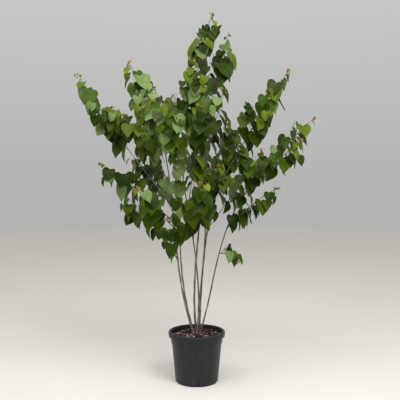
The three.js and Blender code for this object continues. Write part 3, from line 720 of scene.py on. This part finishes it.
def stalk_line(leaf):
    """From the twig along the stalk, bending down into the blade."""
    bend = leaf.root + 0.75 * (leaf.base - leaf.root) + 2.5 * UP
    return bezier([leaf.root, bend, leaf.base + 2 * leaf.down], 5)


# ---- Materials ----------------------------------------------------------------------------------------

# Inputs and output of a colour mix, and of a map from one range to 0 and 1.
FACTOR, FIRST, SECOND, MIXED = 0, 6, 7, 2
VALUE, AT_0, AT_1 = 0, 1, 2
PATCH = 500  # millimetres across a noise patch at a scale of one
# The blade's own coordinates run from 0 to 1 over its span and its run, both in blade lengths, which begin
# behind its base.
BLADE_SPAN = 1.3
BLADE_RUN = 1.25
BLADE_FOOT = 0.16
VEIN_TURN = 0.54  # radians between one vein and the next
DUST_HEIGHT = 90


def linear(code):
    """An sRGB hex colour as linear RGBA."""
    parts = [int(code[i : i + 2], 16) / 255 for i in (0, 2, 4)]
    return (*[c / 12.92 if c <= 0.04045 else ((c + 0.055) / 1.055) ** 2.4 for c in parts], 1.0)


def add_node(tree, kind, inputs, output=0, **settings):
    """Adds a node with its settings, gives each input a value or a link, and returns one of its outputs."""
    made = tree.nodes.new(f"ShaderNode{kind}")
    for key, value in settings.items():
        setattr(made, key, value)
    for key, value in inputs.items():
        if isinstance(value, bpy.types.NodeSocket):
            tree.links.new(value, made.inputs[key])
        else:
            made.inputs[key].default_value = value
    return made.outputs[output]


def new_material(name, roughness, ior, specular=0.5):
    """A material, a function that adds a node to it, and the object's own coordinates."""
    material = bpy.data.materials.new(name)
    material.use_nodes = True
    sockets = material.node_tree.nodes["Principled BSDF"].inputs
    sockets["Roughness"].default_value = roughness
    sockets["IOR"].default_value = ior
    sockets["Specular IOR Level"].default_value = specular
    add = partial(add_node, material.node_tree)
    return material, add, add("TexCoord", {}, "Object")


def finish(material, colour, height=None, strength=0.5, depth=0.5):
    """Links the colour, and a bump of a depth in millimetres, to the shader."""
    tree = material.node_tree
    sockets = tree.nodes["Principled BSDF"].inputs
    tree.links.new(colour, sockets["Base Color"])
    if height:
        inputs = {"Height": height, "Strength": strength, "Distance": depth * MM}
        tree.links.new(add_node(tree, "Bump", inputs), sockets["Normal"])
    return material


def leaf_finish(name, base, shade, vein, roughness=0.38):
    """Leaf skin, a waxy cuticle: a satin sheen, palmate veins paler than the blade, faint blotches."""
    material, add, place = new_material(name, roughness, 1.42, 0.11)
    uv = add("UVMap", {}, uv_map="blade")
    right = add("SeparateXYZ", {0: uv}, "X")
    down = add("SeparateXYZ", {0: uv}, "Y")
    middle = -0.5 * BLADE_SPAN
    from_midrib = add("Math", {0: right, 1: BLADE_SPAN, 2: middle}, operation="MULTIPLY_ADD")
    x = add("Math", {0: from_midrib}, operation="ABSOLUTE")
    y = add("Math", {0: down, 1: BLADE_RUN, 2: -BLADE_FOOT}, operation="MULTIPLY_ADD")
    radius = add("VectorMath", {0: add("CombineXYZ", {0: x, 1: y})}, "Value", operation="LENGTH")
    angle = add("Math", {0: x, 1: y}, operation="ARCTAN2")
    between = add("Math", {0: angle, 1: 0.5 * VEIN_TURN}, operation="PINGPONG")
    off_vein = add("Math", {0: between, 1: radius}, operation="MULTIPLY")
    veins = add("MapRange", {VALUE: off_vein, AT_0: 0.016, AT_1: 0.004}, interpolation_type="SMOOTHSTEP")
    blotch = add("TexNoise", {"Vector": place, "Scale": PATCH / 30})
    blotches = add("MapRange", {VALUE: blotch, AT_0: 0.35, AT_1: 0.65}, interpolation_type="SMOOTHSTEP")
    skin = {FACTOR: blotches, FIRST: linear(base), SECOND: linear(shade)}
    faint = add("Math", {0: veins, 1: 0.3}, operation="MULTIPLY")
    veined = {FACTOR: faint, FIRST: add("Mix", skin, MIXED, data_type="RGBA"), SECOND: linear(vein)}
    puckers = add("TexNoise", {"Vector": place, "Scale": PATCH / 5})
    sunk = add("Math", {0: veins, 1: -2.0}, operation="MULTIPLY")
    height = add("Math", {0: puckers, 1: sunk}, operation="ADD")
    return finish(material, add("Mix", veined, MIXED, data_type="RGBA"), height, 0.35, 0.4)


def bark_finish(name, base, dark, pale, pore=2.5, roughness=0.82):
    """Thin young bark, matt: fine lengthwise streaks, grey patches and small pale pores."""
    material, add, place = new_material(name, roughness, 1.45, 0.3)
    drawn = add("Mapping", {"Vector": place, "Scale": (1.0, 1.0, 0.12)})
    streak = add("TexNoise", {"Vector": drawn, "Scale": PATCH / 4, "Detail": 4.0})
    streaks = add("MapRange", {VALUE: streak, AT_0: 0.38, AT_1: 0.64}, interpolation_type="SMOOTHSTEP")
    wood = {FACTOR: streaks, FIRST: linear(base), SECOND: linear(dark)}
    patch = add("TexNoise", {"Vector": place, "Scale": PATCH / 45})
    patches = add("MapRange", {VALUE: patch, AT_0: 0.42, AT_1: 0.85}, interpolation_type="SMOOTHSTEP")
    greyed = {FACTOR: patches, FIRST: add("Mix", wood, MIXED, data_type="RGBA"), SECOND: linear(pale)}
    fleck = add("TexNoise", {"Vector": place, "Scale": PATCH / pore, "Detail": 0.0})
    pores = add("MapRange", {VALUE: fleck, AT_0: 0.66, AT_1: 0.72}, interpolation_type="SMOOTHSTEP")
    faint = add("Math", {0: pores, 1: 0.45}, operation="MULTIPLY")
    flecked = {FACTOR: faint, FIRST: add("Mix", greyed, MIXED, data_type="RGBA"), SECOND: linear(pale)}
    height = add("Math", {0: streaks, 1: pores}, operation="ADD")
    return finish(material, add("Mix", flecked, MIXED, data_type="RGBA"), height, 0.5, 0.6)


def moulded_plastic():
    """Polypropylene, injection moulded: satin black, with faint upright flow streaks and a dusty foot."""
    material, add, place = new_material("moulded black polypropylene", 0.4, 1.49, 0.36)
    drawn = add("Mapping", {"Vector": place, "Scale": (1.0, 1.0, 0.06)})
    flow = add("TexNoise", {"Vector": drawn, "Scale": PATCH / 14, "Detail": 3.0})
    flows = add("MapRange", {VALUE: flow, AT_0: 0.4, AT_1: 0.7}, interpolation_type="SMOOTHSTEP")
    body = {FACTOR: flows, FIRST: linear("13161a"), SECOND: linear("1a1f24")}
    speck = add("TexNoise", {"Vector": place, "Scale": PATCH / 9, "Detail": 5.0})
    specks = add("MapRange", {VALUE: speck, AT_0: 0.5, AT_1: 0.8}, interpolation_type="SMOOTHSTEP")
    height = add("SeparateXYZ", {0: place}, "Z")
    low = add("MapRange", {VALUE: height, AT_0: DUST_HEIGHT * MM, AT_1: 0.0}, interpolation_type="SMOOTHSTEP")
    thin = add("Math", {0: low, 1: 0.35}, operation="MULTIPLY")
    dust = add("Math", {0: specks, 1: thin}, operation="MULTIPLY")
    dusty = {FACTOR: dust, FIRST: add("Mix", body, MIXED, data_type="RGBA"), SECOND: linear("5f5850")}
    grain = add("TexNoise", {"Vector": place, "Scale": PATCH / 2.2})
    return finish(material, add("Mix", dusty, MIXED, data_type="RGBA"), grain, 0.12, 0.4)


def mulch_finish(name, base, dark):
    """Broken pine bark: matt, fibrous, darker where it is damp."""
    material, add, place = new_material(name, 0.9, 1.45, 0.25)
    wet = add("TexNoise", {"Vector": place, "Scale": PATCH / 12, "Detail": 3.0})
    damp = add("MapRange", {VALUE: wet, AT_0: 0.4, AT_1: 0.62}, interpolation_type="SMOOTHSTEP")
    bark = {FACTOR: damp, FIRST: linear(base), SECOND: linear(dark)}
    fibres = add("TexNoise", {"Vector": place, "Scale": PATCH / 3, "Detail": 4.0})
    return finish(material, add("Mix", bark, MIXED, data_type="RGBA"), fibres, 0.6, 1.0)


# ---- Pot and mulch ------------------------------------------------------------------------------------

POT_SIDES = 96
WALL = 3
FLOOR = 4
RIM_DEPTH = 33
BASE_RADIUS = 150
WALL_TOP_RADIUS = 184
STEP_HEIGHT = 268
STEP = 4
STEP_RISE = 4
LIP_ROUND = 7
FOOT_ROUND = 3
BAND_ROUND = 1.5
DRAINS = 5
DRAIN_WIDTH = 50
DRAIN_HEIGHT = 15
DRAIN_REACH = 30
DRAIN_INSET = 8


def wall_radius(z, height):
    return BASE_RADIUS + (WALL_TOP_RADIUS - BASE_RADIUS) * z / height


def arc(centre_r, centre_z, radius, start, end, count):
    """Radius and height of points on a round corner, angles in degrees from outwards to upwards."""
    turns = np.radians(np.linspace(start, end, count))
    return [(centre_r + radius * math.cos(t), centre_z + radius * math.sin(t)) for t in turns]


def raise_rings(name, rings, sides, material):
    """A piece raised from a flat circle through the radius and height of each ring, left in edit mode."""
    radius, z = rings[0]
    bpy.ops.object.select_all(action="DESELECT")
    bpy.ops.mesh.primitive_circle_add(
        vertices=sides, radius=radius * MM, fill_type="NGON", location=(0, 0, z * MM)
    )
    piece = bpy.context.object
    piece.name = name
    piece.data.materials.append(material)
    bpy.ops.object.mode_set(mode="EDIT")
    bpy.ops.mesh.select_all(action="SELECT")
    for next_radius, next_z in rings[1:]:
        bpy.ops.mesh.extrude_region_move(TRANSFORM_OT_translate={"value": (0, 0, (next_z - z) * MM)})
        grow = next_radius / radius
        bpy.ops.transform.resize(value=(grow, grow, 1), center_override=(0, 0, 0))
        radius, z = next_radius, next_z
    return piece


def pot_profile(rim_radius, height):
    """The pot's section from under its foot, up its outside, over the lip and down its inside."""

    def outer(z):
        return wall_radius(z, height) + STEP * min(1, max(0, (z - STEP_HEIGHT) / STEP_RISE))

    def inner(z):
        return wall_radius(z, height) - WALL

    band_foot = height - RIM_DEPTH
    groove_top = height - 2 * WALL
    lip = LIP_ROUND
    return [
        (wall_radius(0, height) - FOOT_ROUND, 0),
        *arc(outer(FOOT_ROUND) - FOOT_ROUND, FOOT_ROUND, FOOT_ROUND, -90, 0, 4)[1:],
        *[(outer(z), z) for z in (30, 90, 150, 210, STEP_HEIGHT, STEP_HEIGHT + STEP_RISE, 300, groove_top)],
        (rim_radius - WALL, groove_top),
        (rim_radius - WALL, band_foot),
        *arc(rim_radius - BAND_ROUND, band_foot + BAND_ROUND, BAND_ROUND, -90, 0, 3),
        *arc(rim_radius - lip, height - lip, lip, 0, 90, 6),
        *arc(inner(height) + lip, height - lip, lip, 90, 180, 6),
        *[(inner(z), z) for z in (300, 200, 100, FLOOR)],
    ]


def build_pot(material):
    top_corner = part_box("pot")[1]
    profile = pot_profile(top_corner.x / MM, top_corner.z / MM)
    pot = raise_rings("pot_moulded_shell", profile, POT_SIDES, material)
    bpy.ops.mesh.select_all(action="SELECT")
    bpy.ops.mesh.remove_doubles(threshold=1e-6)
    bpy.ops.mesh.normals_make_consistent(inside=False)
    bpy.ops.object.mode_set(mode="OBJECT")
    for i in range(DRAINS):
        cut_drain(pot, -math.pi / 2 + 2 * math.pi * i / DRAINS)
    only(pot)
    bpy.ops.object.shade_smooth_by_angle(angle=math.radians(35))
    dress(pot, ["pot"])


def cut_drain(pot, turn):
    """Cuts a low arch through the foot of the wall."""
    centre = BASE_RADIUS - DRAIN_INSET
    bpy.ops.object.select_all(action="DESELECT")
    bpy.ops.mesh.primitive_cylinder_add(
        vertices=40,
        radius=DRAIN_WIDTH / 2 * MM,
        depth=DRAIN_REACH * MM,
        location=(centre * math.cos(turn) * MM, centre * math.sin(turn) * MM, 0),
        rotation=(math.pi / 2, 0, turn + math.pi / 2),
    )
    cutter = bpy.context.object
    bpy.ops.object.transform_apply(location=True, rotation=True, scale=True)
    cutter.scale = (1, 1, 2 * DRAIN_HEIGHT / DRAIN_WIDTH)
    bpy.ops.object.transform_apply(location=True, rotation=True, scale=True)
    only(pot)
    cut = pot.modifiers.new("drain", "BOOLEAN")
    cut.object = cutter
    cut.operation = "DIFFERENCE"
    cut.solver = "EXACT"
    bpy.ops.object.modifier_apply(modifier=cut.name)
    bpy.data.objects.remove(cutter)


CHIP_LENGTH = (7, 24)
CHIP_WIDTH = (4, 10)
CHIP_THICKNESS = (2, 5)
CHIPS = 2300
CHIP_INSET = 8
CHIP_LAYER = 7
SOIL_RADIUS = 178
EDGE_DROP = 7
FILL_SIDES = 64
FILL_RINGS = 10
RISING_RINGS = 6
RING_INSET = 14
RING_RISE = 0.8
LUMPS = 2.0


def soil_height(radius):
    """The fill's surface is a little higher in the middle."""
    return SOIL_TOP - EDGE_DROP * (radius / SOIL_RADIUS) ** 3


def chip_points(i):
    """One broken chip: a flat six-sided slab with uneven corners, lying on the fill."""
    radius = (SOIL_RADIUS - CHIP_INSET) * math.sqrt(chance(i, 1))
    turn = 2 * math.pi * chance(i, 2)
    length = lerp(*CHIP_LENGTH, chance(i, 3) ** 2)
    width = lerp(*CHIP_WIDTH, chance(i, 4) ** 1.5)
    thick = lerp(*CHIP_THICKNESS, chance(i, 5))
    rim = []
    for k in range(6):
        angle = math.pi * (k + 0.4 * swing(i, k, 6)) / 3
        bulge = 1 + 0.3 * swing(i, k, 7)
        rim.append((0.5 * length * math.cos(angle), 0.5 * width * bulge * math.sin(angle)))
    slab = [(x, y, -0.5 * thick) for x, y in rim]
    for k, (x, y) in enumerate(rim):
        slab.append((0.8 * x + 1.5 * swing(i, 8), 0.75 * y, (0.5 + 0.3 * swing(i, k, 9)) * thick))
    tilt = 0.5 * swing(i, 10)
    roll = 0.45 * swing(i, 11)
    yaw = 2 * math.pi * chance(i, 12)
    turned = np.array(slab) @ rotation(0, tilt) @ rotation(1, roll) @ rotation(2, yaw)
    height = soil_height(radius) + 1 + CHIP_LAYER * chance(i, 13)
    return turned + np.array([radius * math.cos(turn), radius * math.sin(turn), height])


def rotation(axis, angle):
    a, b = [k for k in range(3) if k != axis]
    turn = np.eye(3)
    turn[a, a] = turn[b, b] = math.cos(angle)
    turn[a, b] = math.sin(angle)
    turn[b, a] = -math.sin(angle)
    return turn


def build_mulch(finishes):
    faces_of_chip = [tuple(reversed(range(6))), tuple(range(6, 12))]
    faces_of_chip += [(k, (k + 1) % 6, (k + 1) % 6 + 6, k + 6) for k in range(6)]
    groups = {name: [] for name in finishes}
    for i in range(CHIPS):
        pick = chance(i, 14)
        name = "red" if pick < 0.4 else "dark" if pick < 0.87 else "pale"
        groups[name].append(chip_points(i))
    for name, chips in groups.items():
        faces = [tuple(12 * i + k for k in face) for i in range(len(chips)) for face in faces_of_chip]
        piece = new_mesh(f"bark_chips_{name}", np.vstack(chips), faces, [finishes[name]], sharp=25)
        dress(piece, ["soil"])


def build_fill(material):
    """The potting compost: a plug that fills the pot, with a lumpy top."""
    top_radius = wall_radius(SOIL_TOP - EDGE_DROP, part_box("pot")[1].z / MM) - WALL - GAP
    rings = [(BASE_RADIUS - WALL - GAP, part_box("soil")[0].z / MM), (top_radius, SOIL_TOP - EDGE_DROP)]
    fill = raise_rings("potting_compost", rings, FILL_SIDES, material)
    for i in range(FILL_RINGS):
        bpy.ops.mesh.inset(thickness=RING_INSET * MM, depth=0)
        bpy.ops.transform.translate(value=(0, 0, RING_RISE * MM if i < RISING_RINGS else 0))
    bpy.ops.object.mode_set(mode="OBJECT")
    bpy.ops.object.transform_apply(location=True, rotation=True, scale=True)
    for vertex in fill.data.vertices:
        on_top = vertex.co.z > 0.5 * SOIL_TOP * MM
        if on_top and vertex.co.xy.length < (top_radius - LUMPS) * MM:
            vertex.co.z += LUMPS * MM * swing(vertex.index, 50)
    bpy.ops.object.shade_smooth_by_angle(angle=math.radians(30))
    dress(fill, ["soil"])


# ---- Stems and boughs ---------------------------------------------------------------------------------

RING_STEP = 5
BUD_SPACING = 62
BUD_SWELL = 0.14
BUD_KINK = 1.1
COLLAR_SWELL = 0.45
COLLAR_LENGTH = 14
BARE_STEPS = 30


def knotted(line, radii, seed):
    """A limb with slight kinks and swellings where its old buds were."""
    length = line_length(line)
    steps = max(4, round(length / RING_STEP))
    out = respaced(line, steps)
    passed = np.linspace(0, length, steps + 1)
    widths = np.interp(passed, np.linspace(0, length, len(radii)), radii)
    phase = passed / BUD_SPACING + chance(seed, 60)
    bump = np.exp(-(((phase % 1) - 0.5) ** 2) / 0.004)
    widths = widths * (1 + BUD_SWELL * bump)
    sway = np.interp(phase % 2, (0, 0.5, 1.5, 2), (0, 1, -1, 0))
    fade = np.clip(np.minimum(passed, length - passed) / BUD_SPACING, 0, 1)
    heading = unit(out[-1] - out[0])
    side = square_to(np.array([math.cos(seed), math.sin(seed), 0.1]), heading)
    return out + (BUD_KINK * sway * fade)[:, None] * side, widths


def add_spline(curve, line, radii):
    spline = curve.splines.new("POLY")
    spline.points.add(len(line) - 1)
    spline.points.foreach_set("co", np.c_[line * MM, np.ones(len(line))].ravel())
    spline.points.foreach_set("radius", radii * MM)
    spline.use_smooth = True


def build_stem(name, stem, number, bark):
    """A stem and its boughs as round tapering limbs with the bark's relief pressed into them."""
    curve = bpy.data.curves.new(f"bark_{name}", "CURVE")
    curve.dimensions = "3D"
    curve.bevel_depth = 1.0
    curve.bevel_resolution = 3
    curve.use_fill_caps = True
    height = np.linspace(0, stem.path[-1][2] - stem.path[0][2], LINE_STEPS + 1)
    radii = np.linspace(*stem.radii, LINE_STEPS + 1) * (1 + STEM_FLARE * np.exp(-height / FLARE_HEIGHT))
    add_spline(curve, *knotted(stem.path, radii, 10 * number))
    for i, shoot in enumerate(stem.shoots):
        if shoot.bare_line is None:
            continue
        passed = np.linspace(0, line_length(shoot.bare_line), BARE_STEPS + 1)
        collar = 1 + COLLAR_SWELL * np.exp(-((passed / COLLAR_LENGTH) ** 2))
        radii = np.linspace(shoot.base_radius, shoot.mass_radius, BARE_STEPS + 1) * collar
        add_spline(curve, *knotted(shoot.bare_line, radii, 10 * number + i + 1))
    piece = bpy.data.objects.new(f"bark_{name}", curve)
    bpy.context.scene.collection.objects.link(piece)
    only(piece)
    bpy.ops.object.convert(target="MESH")
    piece = bpy.context.object
    for grain, relief in ((0.022, 1.0), (0.006, 0.5)):
        press_relief(piece, f"bark grain {grain}", grain, relief * MM)
    piece.data.materials.clear()
    piece.data.materials.append(bark)
    bpy.ops.object.shade_smooth_by_angle(angle=math.radians(60))
    boughs = [f"bough_{shoot.name}" for shoot in stem.shoots if shoot.bare_line is not None]
    dress(piece, [f"stem_{name}", *boughs])


def press_relief(piece, name, grain, relief):
    """Moves the surface in and out by a fine cloud pattern and makes it real."""
    pattern = bpy.data.textures.get(name) or bpy.data.textures.new(name, "CLOUDS")
    pattern.noise_scale = grain
    press = piece.modifiers.new(name, "DISPLACE")
    press.texture = pattern
    press.texture_coords = "LOCAL"
    press.strength = relief
    press.mid_level = 0.5
    bpy.ops.object.modifier_apply(modifier=press.name)


# ---- Twigs and foliage --------------------------------------------------------------------------------


def twig_tubes(rows, sides):
    """Twigs that taper to their tips, a little swollen at each bud."""
    out = []
    for line, radius in rows:
        nodes = len(line) - 1
        fine = []
        radii = []
        for i in range(nodes):
            for share in (0, 0.12, 0.5, 0.88):
                fine.append(lerp(line[i], line[i + 1], share))
                taper = lerp(radius, TWIG_TIP, (i + share) / nodes)
                radii.append(taper * (1.25 if share == 0 and i else 1))
        fine.append(line[-1])
        radii.append(0.6 * TWIG_TIP)
        out.append((np.array(fine), radii, sides))
    return out


def build_foliage(tree):
    growth = SimpleNamespace(leading=[], side=[], leaves=[])
    for shoot in tree.shoots:
        grow_mass(shoot, tree, growth)
    masses = [f"foliage_{shoot.name}" for shoot in tree.shoots]
    twig_bark = bark_finish("ripened twig bark", "5c4238", "3f2a24", "8c7c70", 2.0, 0.7)
    green_bark = bark_finish("young twig bark", "73573a", "5a3f2b", "93a070", 2.0, 0.62)
    leading = twig_tubes(growth.leading, LEADING_SIDES)
    side = twig_tubes(growth.side, SIDE_TWIG_SIDES)
    dress(tubes("twigs_leading", leading, twig_bark), masses)
    dress(tubes("twigs_side", side, green_bark), masses)
    stalk_skin = leaf_finish("leaf stalk skin", "7f8f4a", "8a7a45", "8f9a5a")
    widths = STALK_RADIUS * np.array([1.25, 0.95, 0.9, 0.95, 1.35, 1.1])
    stalks = [
        (stalk_line(leaf), widths * math.sqrt(leaf.length / BLADE), STALK_SIDES) for leaf in growth.leaves
    ]
    dress(tubes("leaf_stalks", stalks, stalk_skin), masses)
    under = leaf_finish("matt leaf underside", "6f8157", "62754a", "8a966e", 0.7)
    tones = {
        "deep": ("2a3d06", "1f2f04", "4a5d18"),
        "middle": ("3d530a", "304608", "5e7023"),
        "light": ("556813", "45580e", "788533"),
        "pale": ("6f844b", "5b713e", "8d9f62"),
        # The pale tone is painted sheen: a leaf coloured as if it reflected the sky.
        "young": ("747d0d", "606f0a", "949528"),
        "bronze": ("786119", "635314", "8d742c"),
    }
    for tone, colours in tones.items():
        skin = leaf_finish(f"leaf skin {tone}", *colours)
        leaves = [leaf for leaf in growth.leaves if leaf.tone == tone]
        dress(blade_piece(f"leaves_{tone}", leaves, [skin, under]), masses)


# ---- Studio -------------------------------------------------------------------------------------------

CAMERA_PLACE = (0.023, -4.0, 1.375)
CAMERA_LENS = 50.76
CAMERA_SHIFT = -0.035


def build_studio():
    bpy.ops.object.select_all(action="DESELECT")
    bpy.ops.mesh.primitive_circle_add(vertices=128, radius=14, fill_type="NGON", location=(0, 0, -0.0005))
    floor = bpy.context.object
    floor.name = "studio_floor"
    material, add, place = new_material("pale matt floor", 0.9, 1.5, 0.2)
    cloud = add("TexNoise", {"Vector": place, "Scale": PATCH / 400})
    tone = {FACTOR: cloud, FIRST: linear("d9d5ce"), SECOND: linear("dedad4")}
    floor.data.materials.append(finish(material, add("Mix", tone, MIXED, data_type="RGBA")))
    add_lamp("key_panel", (2.1, -3.1, 4.9), 2.6, 200)
    add_lamp("fill_panel", (-2.9, -2.4, 4.6), 3.0, 48)
    add_lamp("sky_panel", (-1.0, -2.2, 4.9), 2.6, 80)
    bpy.context.scene.world = soft_sky()
    bpy.context.scene.view_settings.view_transform = "Standard"


def soft_sky():
    """A world that is brighter overhead than at the level of the eye, where it meets the floor's tone."""
    world = bpy.data.worlds.new("soft sky")
    world.use_nodes = True
    tree = world.node_tree
    height = add_node(tree, "SeparateXYZ", {0: add_node(tree, "TexCoord", {}, "Generated")}, "Z")
    rise = add_node(tree, "MapRange", {VALUE: height, AT_0: 0.0, AT_1: 0.6})
    sky = {FACTOR: rise, FIRST: (0.67, 0.665, 0.65, 1), SECOND: (1.0, 1.0, 1.0, 1)}
    background = tree.nodes["Background"].inputs
    tree.links.new(add_node(tree, "Mix", sky, MIXED, data_type="RGBA"), background["Color"])
    background["Strength"].default_value = 0.68
    return world


def add_lamp(name, place, size, power):
    lamp = bpy.data.lights.new(name, "AREA")
    lamp.shape = "SQUARE"
    lamp.size = size
    lamp.energy = power
    holder = bpy.data.objects.new(name, lamp)
    holder.location = place
    holder.rotation_euler = (Vector((0, 0, 1.3)) - Vector(place)).to_track_quat("-Z", "Y").to_euler()
    bpy.context.scene.collection.objects.link(holder)


def build_camera():
    lens = bpy.data.cameras.new("camera")
    lens.lens = CAMERA_LENS
    lens.shift_y = CAMERA_SHIFT
    camera = bpy.data.objects.new("camera", lens)
    camera.location = CAMERA_PLACE
    camera.rotation_euler = (math.pi / 2, 0, 0)
    bpy.context.scene.collection.objects.link(camera)
    bpy.context.scene.camera = camera


# ---- The whole scene ----------------------------------------------------------------------------------

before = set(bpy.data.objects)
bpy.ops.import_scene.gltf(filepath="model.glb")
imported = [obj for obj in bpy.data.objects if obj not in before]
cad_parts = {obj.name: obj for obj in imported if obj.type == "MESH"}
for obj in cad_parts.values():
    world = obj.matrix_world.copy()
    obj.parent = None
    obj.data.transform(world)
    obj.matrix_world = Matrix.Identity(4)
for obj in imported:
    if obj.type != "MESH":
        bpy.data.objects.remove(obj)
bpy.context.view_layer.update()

build_camera()
build_studio()
build_pot(moulded_plastic())
build_fill(mulch_finish("damp potting compost", "1e1613", "130e0c"))
build_mulch(
    {
        "red": mulch_finish("broken pine bark", "523731", "36231f"),
        "dark": mulch_finish("damp pine bark", "251a18", "181110"),
        "pale": mulch_finish("pale inner bark", "c4aea6", "94807a"),
    }
)
plan = plan_tree()
stem_bark = bark_finish("grey-brown stem bark", "6a635b", "3e3731", "9a938a")
for number, (name, stem) in enumerate(plan.stems.items()):
    build_stem(name, stem, number, stem_bark)
build_foliage(plan)
